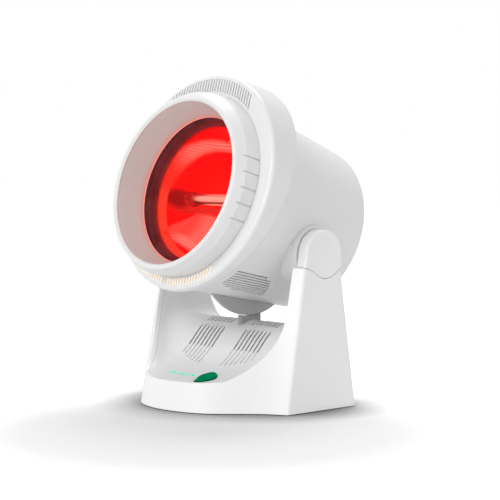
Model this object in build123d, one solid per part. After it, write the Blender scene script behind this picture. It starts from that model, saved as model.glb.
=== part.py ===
"""Infrared heat therapy lamp: a tilting lamp head between the towers of a U-shaped stand.

Millimetres, +Z up, the front faces -Y. The stand is drawn in its own place, with the tilt axis
above y = 0, and the head in its own axes: x to the right, `s` forward along the head's axis and
`n` upward, both from the tilt axis. `stand_out` and `head_out` put each piece in the lamp's frame.
"""
import os
from math import asin, cos, degrees, radians, sin, sqrt

from build123d import *

# ---------------------------------------------------------------- driving sizes
DRUM_R = 77.8             # the head's drum beside the tilt axis
HEAD_CLEAR = 4.0          # between the drum and each tower
TOWER_T = 12.2            # thickness of a tower at the rest surface
CREST_Z = 69.0            # top of the deck, under the head
SECTOR_ABOVE = 4.0        # from the deck's crest to the tilt sector
SECTOR_R = DRUM_R - 20.9  # the tilt sector's radius
RING_R = DRUM_R + 1.8     # the front ring's radius
FLANGE_FRONT_R = RING_R + 13.8
FLANGE_REAR_R = FLANGE_FRONT_R + 2.6

# ---------------------------------------------------------------- the lamp's frame and tilt
AXIS_Z = CREST_Z + SECTOR_ABOVE + SECTOR_R  # tilt axis above the rest surface
ORIGIN_Y = -10.716        # the frame's origin, in y from the tilt axis
TILT = 16.1               # the head's front is raised by this, in degrees
TILT_UP = 15.0            # further travel upward
TILT_DOWN = 30.0          # travel downward
BODY_GAP = 0.3            # clearance between pieces that move against each other
RUNNING_GAP = 0.05        # radial clearance of the trunnions in their bearings
SEAT_GAP = 0.1            # clearance of a piece let into another of the same body

# ---------------------------------------------------------------- stand: outer form
INNER_HALF_W = DRUM_R + HEAD_CLEAR         # half width between the towers
HALF_W = INNER_HALF_W + TOWER_T            # half width over the towers, at the rest surface
STAND_W = 2 * HALF_W
SIDE_LEAN = 0.02          # inward lean of the side walls, per mm of height
FRONT_CORNER_Y = -45.4    # front corners of the plinth
FRONT_LEAN = 0.183        # backward lean of the front faces
REAR_Y = 37.2             # rear face at the rest surface
REAR_LEAN = 0.135
NOSE_Y = -99.3            # the middle of the plinth's front
NOSE_HALF_W = HALF_W - 49.0       # where the nose starts to fall away
NOSE_FALL = 13.5          # how far it has fallen back there
FLANK_HALF_W = HALF_W - 30.0      # where the nose meets the flank
FLANK_Y = -66.5
SHOULDER_HALF_W = HALF_W - 14.0
SHOULDER_Y = -52.4
FRONT_CORNER_R = 2.6
REAR_CORNER_R = 6.0
FLANK_INSET = 1.25        # how far the inner outline steps back in y, per mm of wall
SHELL_WALL = 2.4
RIM_Z = 0.6               # lower edge of the shell above the rest surface
SEAM_Z = AXIS_Z - 10.5    # joint between tower and pivot cap
SEAM_GAP = 0.35

# ---------------------------------------------------------------- stand: the dished inner panel
PANEL_WALL = 2.0
DISH_FRONT = (INNER_HALF_W - 47.8, 60.0, 15.0)   # front corner ellipse: centre x, centre z, floor z
DISH_REAR = (INNER_HALF_W - 41.8, 104.0, 54.0)   # the same at the rear
DISH_TOP_Z = 1.5 * AXIS_Z # the dish is open upward beyond the towers
DISH_FLOOR_DEPTH = 10.0
DISH_FRONT_Y = -112.0
DISH_REAR_Y = 48.0
DECK_FLARE_R = 16.0       # the deck's upper part curves up into the towers
CREST_FRONT_Y = 0.0
CREST_REAR_Y = 3.0
DECK_REAR_Z = 57.0        # where its rear slope would reach DISH_REAR_Y
DECK_CURVE = ((-110.0, 23.9), (-72.0, 26.7), (-47.6, 34.4), (-31.0, 47.7), (-17.0, 62.0), (-10.5, 66.1),
              (-5.0, 68.2), (CREST_FRONT_Y, CREST_Z))
DECK_FRONT_SLOPE = 0.06
CREST_SLOPE = 0.05
DECK_SLOTS = 7            # in each of the two groups
DECK_SLOT_PITCH = 4.92
DECK_SLOT_X = 14.0        # innermost slot of a group
DECK_SLOT_W = 2.0
DECK_SLOT_FRONT_Y = -31.2
DECK_SLOT_REAR_Y = -15.4
GROOVE_DEPTH = 0.7
GROOVE_INNER_Y = -47.6    # front end of the innermost groove
GROOVE_OUTER_Y = -38.8    # and of the outermost
REAR_SLOT_FRONT_Y = -10.6
REAR_SLOT_REAR_Y = 0.0

# ---------------------------------------------------------------- stand: pivot caps and bearings
CAP_TOP_R = 20.5          # top of the cap above the tilt axis
CAP_WALL = 2.0
SEAM_DIP = ((-23.7, 0.0), (-17.8, -1.2), (-12.3, -4.2), (-6.8, -7.8), (0.2, -9.4),
            (8.4, -7.8), (14.0, -4.2), (18.2, -1.2), (24.0, 0.0))      # y, and z from the seam
PIVOT_DISH_R = 18.6
PIVOT_DISH = 0.8
CAP_EDGE_R = 1.6
CAP_TONGUE = (1.6, 5.6, 7.0)      # thickness, width and length below the seam
CAP_TONGUE_Y = -18.6
BEARING_T = 2.6
BEARING_HALF_W = 15.0
BEARING_DROP = 26.0       # how far the bearing plate reaches below the tilt axis
BEARING_SCREW_HEAD_T = 1.4
BEARING_SCREW_Z = AXIS_Z - 21.4
BEARING_SCREW_Y = 9.0
PEG_R = 1.6
PEG_CIRCLE_R = 11.7

# ---------------------------------------------------------------- stand: guide post under the head
POST_T = 5.0
POST_FRONT_Y = -12.9
POST_REAR_Y = 11.6
POST_EDGE_R = 1.8
POST_FOOT_W = 15.0
POST_FOOT_T = 2.0
SECTOR_CLEAR = 0.4        # between the post's hollow top and the tilt sector

# ---------------------------------------------------------------- stand: floor, feet and cord inlet
FLOOR_Z = 1.0
FLOOR_T = 2.4
FOOT_R = 8.0
FOOT_T = 2.0
FOOT_CHAMFER = 0.5
FOOT_REAR_X = HALF_W - 20.0
FOOT_FRONT_X = HALF_W - 54.0
FEET = ((-FOOT_REAR_X, 22.0), (FOOT_REAR_X, 22.0), (-FOOT_FRONT_X, -72.0), (FOOT_FRONT_X, -72.0))
BOSS_R = 4.2
BOSS_H = 16.0
BOSS_WEB = 2.0
BOSS_SIDE_X = HALF_W - 10.0
BOSS_REAR_X = HALF_W - 34.0
BOSSES = ((-BOSS_SIDE_X, -30.0), (BOSS_SIDE_X, -30.0), (-BOSS_REAR_X, 27.0), (BOSS_REAR_X, 27.0),
          (0.0, -88.0))
SCREW_R = 1.5
SCREW_L = 12.0
SCREW_HEAD_R = 3.0
SCREW_HEAD_T = 1.4
FLOOR_VENTS = 9
FLOOR_VENT_PITCH = 7.0
FLOOR_VENT_W = 3.0
FLOOR_VENT_L = 34.0
INLET_Z = 15.0
INLET_R = 6.5
INLET_FLANGE_R = 9.0
INLET_FLANGE_T = 1.8
INLET_OUT = 8.0
CORD_R = 3.2

# ---------------------------------------------------------------- controls
BUTTON_X = NOSE_HALF_W - 24.0
BUTTON_Y = -71.0
BUTTON_LEAF = ((3.4, -15.2), (-2.0, -7.0), (-6.2, 3.0), (-2.2, 10.1), (7.5, 7.0), (12.9, -1.5),
               (11.2, -11.0), (6.8, -15.7))      # its outline round BUTTON_X and BUTTON_Y
BUTTON_PROUD = 1.3
BUTTON_EDGE_R = 0.6
BUTTON_TRAVEL = 1.2
BUTTON_SKIRT = 1.6        # flange that keeps it under the deck
BUTTON_SKIRT_T = 1.2
STEM_R = 2.6
CONTROL_Y = -72.0
WINDOW_X = (BUTTON_X - 42.0, BUTTON_X - 30.2, BUTTON_X - 18.2)
WINDOW_W = 8.6
WINDOW_H = 3.6
WINDOW_FOOT_Z = 14.6
BOARD_LEFT = BUTTON_X - 55.0
BOARD_RIGHT = BUTTON_X + 19.0
BOARD_Y = (-80.0, -50.0)
BOARD_Z = 9.0
BOARD_T = 1.6
RELAY = (BOARD_LEFT + 4.0, BOARD_LEFT + 22.0, -63.0, -52.0)      # x and y limits
RELAY_H = 11.0
CAPACITOR = (BOARD_LEFT + 30.0, -57.0, 4.0)                      # x, y and radius
CAPACITOR_H = 12.0
FUSE = (BOARD_LEFT + 39.0, BOARD_LEFT + 57.0, -54.5, 2.6)        # x limits, y and radius
FUSE_UP = 3.0
BOARD_TERMINAL = (BOARD_LEFT + 62.0, BOARD_LEFT + 72.0, -62.0, -52.0)
BOARD_TERMINAL_H = 9.0
SWITCH_SIZE = 6.2
SWITCH_H = 3.8
SWITCH_FLOOR_T = 0.8
PLUNGER_R = 1.7
PLUNGER_H = 1.9
STANDOFF_IN = 4.0
LED_R = 1.5
STANDOFF_R = 3.0

# ---------------------------------------------------------------- head: front ring and shade
RING_SLANT = 0.17         # upward drift of the ring's centre, per mm back from its lip
LIP_S = 100.9             # inner edge of the lip
LIP_R = RING_R - 9.3
LIP_BEVEL_R = RING_R - 7.7
LIP_N = 33.3
LIP_FACE = ((79.6, RING_R), (93.4, RING_R - 0.4), (94.6, RING_R - 1.1), (99.4, RING_R - 3.6),
            (101.4, RING_R - 4.8), (102.3, RING_R - 6.2), (102.3, LIP_BEVEL_R))    # s and radius
RING_WALL = 2.0
LIP_BACK_S = 99.6
GRIPS = 5
GRIP_PITCH = 12.9
GRIP_MIDDLE_N = 32.0
GRIP_W = 1.2
GRIP_DEPTH = 0.9
GRIP_FRONT_S = 95.6
SKIRT_R = RING_R - 11.0   # tube that carries the shade, glass and reflector
SHADE_WALL = 1.2
SHADE_REAR_S = 75.9
SHADE_N = 33.4
SHADE_FLANGE_R = RING_R - 6.6
SHADE_SEAT_R = SKIRT_R - 0.3

# ---------------------------------------------------------------- head: glass and its mounting
CARRIER_R = SKIRT_R - 0.3
GLASS_R = CARRIER_R - 2.3
GLASS_T = 4.0
GLASS_CHAMFER = 0.4
SHADE_REAR_R = GLASS_R - 2.8      # the shade's opening at the glass
SEAL_T = 0.7
SEAL_R = GLASS_R - 2.4
CARRIER_BORE_R = GLASS_R - 3.5
CARRIER_DEPTH = 6.2       # from the glass to the reflector's rim
CARRIER_T = 1.2
CARRIER_SCREWS = 4
CARRIER_SCREW_R = CARRIER_R - 2.7
CARRIER_HEAD_R = 2.3

# ---------------------------------------------------------------- head: reflector, tube and shield
REFLECTOR_R = CARRIER_BORE_R - 3.8
REFLECTOR_DEPTH = 46.0
REFLECTOR_T = 0.8
BOWL_POINTS = 8
SHIELD_R = CARRIER_R - 5.9
SHIELD_T = 0.8
SHIELD_DEPTH = 52.0
TUBE_BACK = 24.0          # tube axis behind the reflector's rim
TUBE_R = 5.0
TUBE_WALL = 1.0
TUBE_HALF_L = REFLECTOR_R - 16.7
FILAMENT_R = 1.1
END_CAP_R = 6.2
END_CAP_L = 8.0
HOLDER_W = 13.0
HOLDER_GRIP = 2.0         # length of end cap held in the holder
HOLDER_WALL = 4.0
HOLDER_STUD_R = 3.0
HOLE_MARGIN = 1.5
CUTOUT_R = 9.0
CUTOUT_T = 6.0
CUTOUT_UP = 18.0
CUTOUT_BLADE = (0.8, 6.0)         # thickness and height of its two blades
TERMINAL = (36.0, 14.0, 9.0)      # x, depth and height
TERMINAL_DOWN = DRUM_R - 21.8

# ---------------------------------------------------------------- head: vented flange
FLANGE_S = 79.5           # its front face
FLANGE_N = 39.7
FLANGE_LOW_T = 8.62       # its depth at the bottom, where it is least
FLANGE_REAR_LEAN = 9.1    # degrees
FLANGE_REAR_S = FLANGE_S - FLANGE_LOW_T - FLANGE_REAR_R * sin(radians(FLANGE_REAR_LEAN))
FLANGE_FRONT_EDGE = 3.4
FLANGE_REAR_EDGE = 4.5
FLANGE_WALL = 2.2
SKIRT_WALL = 2.0
SKIRT_DEPTH = 20.5
COMB_PITCH = 3.27
COMB_SLOT_W = 1.5
COMB_TOP_SLOTS = 31
COMB_OUTER_R = FLANGE_FRONT_R - 3.6
COMB_INNER_R = RING_R + 1.8
COMB_BOTTOM_SLOTS = (10, 16)      # left and right of the gap
COMB_GAP_X = -9.6
COMB_GAP_PITCHES = 1.4    # from the gap's middle to the first slot

# ---------------------------------------------------------------- head: drum housing
DRUM_N = 34.2
DRUM_FRONT_S = 74.0
DRUM_REAR_S = -63.0
DRUM_TAPER = 0.093        # loss of radius per mm toward the rear
DRUM_WALL = 2.2
DRUM_EDGE_R = 9.0
BELLY_SLOTS = 9           # on each side, counted downward
BELLY_SLOT_W = 1.6
BELLY_FIRST = 50.6        # degrees below the horizontal
BELLY_STEP = 2.35
BELLY_FRONT_S = 57.0
BELLY_REAR_S = 20.6
BELLY_REAR_CURVE = 7.2    # growth of the slots toward the rear
BELLY_LONG_SLOTS = 5      # slots that reach BELLY_FRONT_S
BELLY_FRONT_CURVE = 2.0
REAR_SLOTS = 9
REAR_SLOT_PITCH = 6.5
REAR_SLOT_H = 2.4
REAR_SLOTS_R = DRUM_R - 29.8
LUG_ANGLES = (-8.0, 55.0, 125.0, 188.0)
LUG_IN_R = DRUM_R - 6.0
LUG_OUT_R = DRUM_R + 5.2
LUG_SCREW_R = DRUM_R - 3.2
LUG_W = 7.0
LUG_L = 15.0
HOUSING_HEAD_R = 2.0
HOUSING_HEAD_T = 1.4
WASHER_R = 15.0
WASHER_T = 1.1
TRUNNION_BOSS_R = 24.0
TRUNNION_BOSS_X = INNER_HALF_W - BODY_GAP - WASHER_T
TRUNNION_ROOT_X = TRUNNION_BOSS_X - 35.4   # inside the drum, where the boss is lost in it
TRUNNION_BOSS_EDGE = 2.4
TRUNNION_R = 7.0
TRUNNION_HUB_R = 10.5
TRUNNION_IN = 16.4        # length of a trunnion inside its boss
TRUNNION_INNER_X = TRUNNION_BOSS_X - TRUNNION_IN
TRUNNION_CLEAR = 1.0      # radial clearance in the cap's wall
TRUNNION_SCREW_L = 18.0
TRUNNION_HEAD_R = 5.5
TRUNNION_HEAD_T = 1.3
STOP_T = 1.2
STOP_R = 9.5
STOP_TAB_W = 5.0
STOP_TAB_REACH = 13.4
SECTOR_T = 4.0


# ================================================================ helpers
def stand_out(name, shape):
    """Write a piece that is drawn in the stand's place."""
    export_step(Pos(0, -ORIGIN_Y, 0) * shape, f"parts/{name}.step")


def head_out(name, shape):
    """Write a piece that is drawn in the head's axes."""
    stand_out(name, Pos(0, 0, AXIS_Z) * Rot(-TILT, 0, 0) * shape)


def section(radius, s, n, lean=0.0):
    """A disc across the head's axis, leaning back at the top by `lean` degrees."""
    normal = (0, -cos(radians(lean)), sin(radians(lean)))
    return Plane(origin=(0, -s, n), x_dir=(1, 0, 0), z_dir=normal) * Circle(radius)


def rounds(sections):
    """Straight-sided solid through discs across the head's axis."""
    return loft(sections, ruled=True)


def turned(points, n):
    """Solid of revolution about the head's axis at height n, from (s, radius) points."""
    outline = [(radius, -s) for s, radius in points]
    profile = make_face(Polyline(*outline, close=True))
    return Pos(0, 0, n) * revolve(profile, Axis.Y)


def bar_x(radius, x0, x1, y=0.0, z=0.0):
    """Round bar along X."""
    return Pos((x0 + x1) / 2, y, z) * Rot(0, 90, 0) * Cylinder(radius, abs(x1 - x0))


def bar_z(radius, x, y, z0, z1):
    """Round upright bar."""
    return Pos(x, y, (z0 + z1) / 2) * Cylinder(radius, z1 - z0)


def block(x0, x1, y0, y1, z0, z1):
    """Box from its limits."""
    return Pos((x0 + x1) / 2, (y0 + y1) / 2, (z0 + z1) / 2) * Box(x1 - x0, y1 - y0, z1 - z0)


def both_sides(piece):
    """A piece on the right and its mirror image on the left."""
    return piece, mirror(piece, Plane.YZ)


# ================================================================ stand
def front_y(z):
    """Front corners of the towers at height z."""
    return FRONT_CORNER_Y + FRONT_LEAN * z


def rear_y(z):
    """Rear face of the stand at height z."""
    return REAR_Y - REAR_LEAN * z


def side_x(z):
    """Half the stand's width at height z."""
    return HALF_W - SIDE_LEAN * z


def plan(z, inset):
    """The stand's outline at height z, drawn in by `inset`."""
    half = side_x(z) - inset
    share = half / HALF_W
    back = FRONT_LEAN * z + FLANK_INSET * inset
    right = [
        (NOSE_HALF_W * share, NOSE_Y + NOSE_FALL + back),
        (FLANK_HALF_W * share, FLANK_Y + back),
        (SHOULDER_HALF_W * share, SHOULDER_Y + back),
        (half, FRONT_CORNER_Y + back),
    ]
    left = [(-x, y) for x, y in reversed(right)]
    rear = rear_y(z) - inset
    edges = [
        Spline(*left, (0.0, NOSE_Y + back), *right),
        Polyline(right[-1], (half, rear), (-half, rear), left[0]),
    ]
    return Pos(0, 0, z) * make_face(edges)


def stand_block(z0, z1, inset):
    """The stand's outer form between two heights, drawn in by `inset`."""
    return loft([plan(z0, inset), plan(z1, inset)], ruled=True)


def dish_section(y, corner, grow):
    """U-shaped section across the space between the towers, grown outward by `grow`."""
    centre_x, centre_z, floor_z = corner
    half = INNER_HALF_W + grow
    width = half - centre_x
    depth = centre_z - floor_z + grow
    floor = floor_z - grow
    edges = [
        EllipticalCenterArc((-centre_x, centre_z), width, depth, 180, arc_size=90),
        Line((-centre_x, floor), (centre_x, floor)),
        EllipticalCenterArc((centre_x, centre_z), width, depth, 270, arc_size=90),
        Polyline((half, centre_z), (half, DISH_TOP_Z), (-half, DISH_TOP_Z), (-half, centre_z)),
    ]
    across = Plane(origin=(0, y, 0), x_dir=(1, 0, 0), z_dir=(0, -1, 0))
    return across * make_face(edges)


def deck_hill(drop):
    """Everything under the deck's surface, lowered by `drop` square to the surface."""
    curve = []
    for (y, z), (ahead_y, ahead_z) in zip(DECK_CURVE, DECK_CURVE[1:]):
        slope = (ahead_z - z) / (ahead_y - y)
        curve.append((y, z - drop * sqrt(1 + slope ** 2)))
    crest = (CREST_FRONT_Y, CREST_Z - drop)
    front_y, front_z = curve[0]
    under = -DISH_FLOOR_DEPTH
    edges = [
        Spline(*curve, crest, tangents=[(1, DECK_FRONT_SLOPE), (1, CREST_SLOPE)]),
        Polyline(crest, (CREST_REAR_Y, CREST_Z - drop), (DISH_REAR_Y, DECK_REAR_Z - drop),
                 (DISH_REAR_Y, under), (front_y, under), (front_y, front_z)),
    ]
    along = Plane(origin=(-HALF_W, 0, 0), x_dir=(0, 1, 0), z_dir=(1, 0, 0))
    return extrude(along * make_face(edges), STAND_W)


def dish(grow):
    """The open space between the towers above the deck, grown by `grow`, without its flares."""
    front = dish_section(DISH_FRONT_Y, DISH_FRONT, grow)
    rear = dish_section(DISH_REAR_Y, DISH_REAR, grow)
    return loft([front, rear], ruled=True) - deck_hill(grow)


def flared_dish():
    """The open space as it is seen, with the deck curving up into the towers."""
    space = dish(0.0)
    corners = []
    for edge in space.edges():
        box = edge.bounding_box()
        runs_back = box.max.Y - box.min.Y > (CREST_REAR_Y - CREST_FRONT_Y) / 2
        on_deck = box.max.Z < CREST_Z + SEAM_GAP and box.min.Y > DISH_FRONT_Y + SEAM_GAP
        if runs_back and on_deck and abs(edge.center().X) > INNER_HALF_W / 2:
            corners.append(edge)
    return fillet(corners, DECK_FLARE_R)


def seam_dip(clear):
    """The tongue of the pivot cap's side wall that dips into the right tower, grown by `clear`."""
    dip = [(y, SEAM_Z + down - clear) for y, down in SEAM_DIP]
    (y0, z0), (y1, z1) = dip[0], dip[-1]
    outline = make_face([Spline(*dip), Polyline((y0, z0), (y0, DISH_TOP_Z), (y1, DISH_TOP_Z), (y1, z1))])
    along = Plane(origin=(0, 0, 0), x_dir=(0, 1, 0), z_dir=(1, 0, 0))
    inner = side_x(SEAM_Z) - SHELL_WALL - clear
    return Pos(inner, 0, 0) * extrude(along * outline, STAND_W)


def inlet_plane():
    """Plane on the rear wall at the cord inlet, facing outward."""
    return Plane(origin=(0, rear_y(INLET_Z), INLET_Z), x_dir=(1, 0, 0), z_dir=(0, 1, REAR_LEAN))


def base_shell():
    """Outer shell of plinth and towers, open at the bottom, with bosses for the floor's screws."""
    outer = stand_block(RIM_Z, SEAM_Z, 0.0)
    for count, radius in ((slice(0, 2), FRONT_CORNER_R), (slice(-2, None), REAR_CORNER_R)):
        upright = [e for e in outer.edges() if abs((e @ 1 - e @ 0).Z) > SEAM_Z / 2]
        outer = fillet(sorted(upright, key=lambda e: e.center().Y)[count], radius)
    shell = outer - stand_block(RIM_Z - SHELL_WALL, SEAM_Z + SHELL_WALL, SHELL_WALL)
    shell -= flared_dish()
    for x, y in BOSSES:
        shell += boss(x, y)
    for side in both_sides(seam_dip(SEAM_GAP)):
        shell -= side
    return shell - inlet_plane() * Cylinder(INLET_R + SEAT_GAP, 6 * SHELL_WALL)


def boss(x, y):
    """Screw boss inside the shell, with a web to the nearest wall."""
    z0 = FLOOR_Z + FLOOR_T
    z1 = z0 + BOSS_H
    tube = bar_z(BOSS_R, x, y, z0, z1)
    if x == 0.0:
        web = block(-BOSS_WEB / 2, BOSS_WEB / 2, 2 * NOSE_Y, y, z0, z1)
    elif y > 0.0:
        web = block(x - BOSS_WEB / 2, x + BOSS_WEB / 2, y, 2 * REAR_Y, z0, z1)
    else:
        x0, x1 = sorted((x, x + STAND_W * (1 if x > 0 else -1)))
        web = block(x0, x1, y - BOSS_WEB / 2, y + BOSS_WEB / 2, z0, z1)
    web &= stand_block(RIM_Z, SEAM_Z, SHELL_WALL / 2)
    return tube + web - bar_z(SCREW_R, x, y, 0, z0 + SCREW_L)


def deck_panel():
    """Dished panel between the towers, let into the shell, with slots, windows and button opening."""
    inside = stand_block(RIM_Z, SEAM_Z, SHELL_WALL + SEAT_GAP)
    panel = (dish(PANEL_WALL) - flared_dish()) & inside
    panel = panel - deck_slots() - post_column(SEAT_GAP)
    for x in WINDOW_X:
        panel -= window_column(x, SEAT_GAP)
    for y in (-BEARING_SCREW_Y, BEARING_SCREW_Y):
        x0 = INNER_HALF_W + PANEL_WALL / 2 - SEAT_GAP
        hole = bar_x(SCREW_R + SEAT_GAP, x0, STAND_W, y, BEARING_SCREW_Z)
        for side in both_sides(hole):
            panel -= side
    return panel - button_column(BODY_GAP)


def deck_slots():
    """Two groups of long slots that run out as shallow grooves, and a short row behind each."""
    cuts = []
    surface = deck_hill(0.0)
    core = deck_hill(GROOVE_DEPTH)
    for k in range(DECK_SLOTS):
        x = DECK_SLOT_X + k * DECK_SLOT_PITCH
        along = k / (DECK_SLOTS - 1)
        groove_y = GROOVE_INNER_Y + (GROOVE_OUTER_Y - GROOVE_INNER_Y) * along ** 1.5
        x0, x1 = x - DECK_SLOT_W / 2, x + DECK_SLOT_W / 2
        cuts.extend(both_sides(block(x0, x1, DECK_SLOT_FRONT_Y, DECK_SLOT_REAR_Y, 0, AXIS_Z)))
        cuts.extend(both_sides(block(x0, x1, REAR_SLOT_FRONT_Y, REAR_SLOT_REAR_Y, 0, AXIS_Z)))
        groove = block(x0, x1, groove_y, DECK_SLOT_FRONT_Y + GROOVE_DEPTH, 0, AXIS_Z)
        cuts.extend(both_sides((groove & surface) - core))
    return cuts


def cap_outline(inset, z0):
    """Side view of a pivot cap: the tower's lines run up into a round top."""
    front = front_y(AXIS_Z) + inset
    rear = rear_y(AXIS_Z) - inset
    foot_front = (front_y(z0) + inset, z0)
    foot_rear = (rear_y(z0) - inset, z0)
    top = ((front + rear) / 2, AXIS_Z + CAP_TOP_R - inset)
    edges = [
        ThreePointArc((front, AXIS_Z), top, (rear, AXIS_Z)),
        Polyline((rear, AXIS_Z), foot_rear, foot_front, (front, AXIS_Z)),
    ]
    along = Plane(origin=(0, 0, 0), x_dir=(0, 1, 0), z_dir=(1, 0, 0))
    return along * make_face(edges)


def pivot_cap():
    """Right-hand cap: a shell over the tower's top, with a shallow dish round the pivot."""
    outer_x = side_x(SEAM_Z)
    inner_x = INNER_HALF_W + CAP_WALL
    z0 = SEAM_Z + SEAM_GAP
    lowest = SEAM_Z + min(down for y, down in SEAM_DIP) - SEAM_GAP
    cap = Pos(INNER_HALF_W, 0, 0) * extrude(cap_outline(0.0, lowest), outer_x - INNER_HALF_W)
    rim = [e for e in cap.edges() if e.center().X > outer_x - SEAT_GAP and e.center().Z > z0]
    cap = fillet(rim, CAP_EDGE_R)
    hollow_t = outer_x - CAP_WALL - inner_x
    cap -= Pos(inner_x, 0, 0) * extrude(cap_outline(CAP_WALL, lowest - CAP_WALL), hollow_t)
    below_seam = block(0, STAND_W, -STAND_W, STAND_W, 0, z0)
    cap -= below_seam - seam_dip(0.0)
    dish_r = (PIVOT_DISH_R ** 2 + PIVOT_DISH ** 2) / (2 * PIVOT_DISH)
    cap -= Pos(outer_x + dish_r - PIVOT_DISH, 0, AXIS_Z) * Sphere(dish_r)
    thick, wide, reach = CAP_TONGUE
    y0, y1 = CAP_TONGUE_Y - wide / 2, CAP_TONGUE_Y + wide / 2
    cap += block(inner_x - SEAT_GAP, inner_x + thick, y0, y1, z0, z0 + reach)
    cap += block(inner_x + SEAT_GAP, inner_x + thick, y0, y1, z0 - reach, z0 + reach)
    return cap - bar_x(TRUNNION_R + TRUNNION_CLEAR, 0, inner_x + SEAT_GAP, z=AXIS_Z)


def bearing_plate():
    """Right-hand plate that carries the trunnion, with two pegs that limit the tilt."""
    x0 = INNER_HALF_W + PANEL_WALL
    x1 = x0 + BEARING_T
    plate = block(x0, x1, -BEARING_HALF_W, BEARING_HALF_W, AXIS_Z - BEARING_DROP, AXIS_Z)
    plate += bar_x(BEARING_HALF_W, x0, x1, z=AXIS_Z)
    plate -= bar_x(TRUNNION_R + RUNNING_GAP, 0, STAND_W, z=AXIS_Z)
    for y in (-BEARING_SCREW_Y, BEARING_SCREW_Y):
        plate -= bar_x(SCREW_R + SEAT_GAP, 0, STAND_W, y, BEARING_SCREW_Z)
    tab_half = degrees(asin(STOP_TAB_W / 2 / PEG_CIRCLE_R))
    peg_half = degrees(asin((PEG_R + BODY_GAP) / PEG_CIRCLE_R))
    for travel in (TILT_UP + tab_half + peg_half, -TILT_DOWN - tab_half - peg_half):
        y = -PEG_CIRCLE_R * sin(radians(travel))
        z = AXIS_Z - PEG_CIRCLE_R * cos(radians(travel))
        plate += bar_x(PEG_R, x0, x1 + BODY_GAP + STOP_T, y, z)
    return plate


def bearing_screws():
    """Pan-head screws that hold the bearing plates to the inner panel."""
    screws = []
    x0 = INNER_HALF_W + PANEL_WALL + BEARING_T
    for y in (-BEARING_SCREW_Y, BEARING_SCREW_Y):
        shank = bar_x(SCREW_R, INNER_HALF_W + PANEL_WALL / 2, x0, y, BEARING_SCREW_Z)
        head = bar_x(SCREW_HEAD_R, x0, x0 + BEARING_SCREW_HEAD_T, y, BEARING_SCREW_Z)
        screws.extend(both_sides(shank + head))
    return screws


def post_column(grow):
    """Upright post with rounded corners from the rest surface up to an arc round the tilt axis."""
    length = POST_REAR_Y - POST_FRONT_Y
    post = Rectangle(POST_T + 2 * grow, length + 2 * grow)
    post = fillet(post.vertices(), POST_EDGE_R)
    middle = (POST_REAR_Y + POST_FRONT_Y) / 2
    post = Pos(0, middle, 0) * extrude(post, AXIS_Z)
    return post - bar_x(SECTOR_R + SECTOR_CLEAR, -POST_T, POST_T, z=AXIS_Z)


def guide_post():
    """Post that keeps the tilt sector in line, with a flange under the deck's crest."""
    foot_top = PANEL_WALL + SEAT_GAP
    foot = block(-POST_FOOT_W / 2, POST_FOOT_W / 2, POST_FRONT_Y, POST_REAR_Y, 0, AXIS_Z)
    foot &= deck_hill(foot_top)
    return (post_column(0.0) + foot) - deck_hill(foot_top + POST_FOOT_T)


def deck_z(y):
    """Height of the deck's surface at y."""
    sliver = block(-1, 1, y - SEAT_GAP, y, 0, AXIS_Z)
    return (sliver & deck_hill(0.0)).bounding_box().max.Z


def window_column(x, grow):
    """Arch-shaped light window, upright through the deck."""
    wide = WINDOW_W / 2 + grow
    y0 = CONTROL_Y - grow
    edges = [
        Line((x - wide, y0), (x + wide, y0)),
        ThreePointArc((x + wide, y0), (x, CONTROL_Y + WINDOW_H + grow), (x - wide, y0)),
    ]
    return Pos(0, 0, WINDOW_FOOT_Z) * extrude(make_face(edges), CREST_Z)


def indicator_windows():
    """Light guides under the three windows, flush with the deck."""
    return [window_column(x, 0.0) & deck_hill(0.0) for x in WINDOW_X]


def button_column(grow):
    """Leaf-shaped column of the push button, grown by `grow`."""
    moved = []
    for k, (x, y) in enumerate(BUTTON_LEAF):
        x0, y0 = BUTTON_LEAF[k - 1]
        x1, y1 = BUTTON_LEAF[(k + 1) % len(BUTTON_LEAF)]
        share = grow / sqrt((x1 - x0) ** 2 + (y1 - y0) ** 2)
        moved.append((x - share * (y1 - y0), y + share * (x1 - x0)))
    return Pos(BUTTON_X, BUTTON_Y, 0) * extrude(make_face(Spline(*moved, periodic=True)), CREST_Z)


def power_button():
    """Push button, proud of the deck, with a skirt below it and a stem to the switch."""
    skirt_top = PANEL_WALL + BODY_GAP + BUTTON_TRAVEL / 10
    skirt_under = skirt_top + BUTTON_SKIRT_T
    cap = button_column(0.0) & deck_hill(-BUTTON_PROUD)
    rim = [e for e in cap.edges() if e.center().Z > deck_z(BUTTON_Y) - PANEL_WALL]
    cap = fillet(rim, BUTTON_EDGE_R)
    cap -= deck_hill(skirt_under)
    skirt = (button_column(BUTTON_SKIRT) & deck_hill(skirt_top)) - deck_hill(skirt_under)
    skirt &= stand_block(RIM_Z, SEAM_Z, SHELL_WALL + 2 * BODY_GAP)
    stem_z = BOARD_Z + BOARD_T + SWITCH_H + PLUNGER_H + SEAT_GAP
    stem = bar_z(STEM_R, BUTTON_X, BUTTON_Y, stem_z, CREST_Z) & deck_hill(skirt_top)
    return cap + skirt + stem


def control_board():
    """Circuit board on four standoffs."""
    return block(BOARD_LEFT, BOARD_RIGHT, *BOARD_Y, BOARD_Z, BOARD_Z + BOARD_T)


def board_parts():
    """Relay, capacitor, fuse and screw terminal on the board."""
    z = BOARD_Z + BOARD_T
    relay = block(*RELAY, z, z + RELAY_H)
    terminal = block(*BOARD_TERMINAL, z, z + BOARD_TERMINAL_H)
    x, y, radius = CAPACITOR
    capacitor = bar_z(radius, x, y, z, z + CAPACITOR_H)
    x0, x1, y, radius = FUSE
    fuse = bar_x(radius, x0, x1, y, z + FUSE_UP)
    return [relay, capacitor, fuse, terminal]


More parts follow.
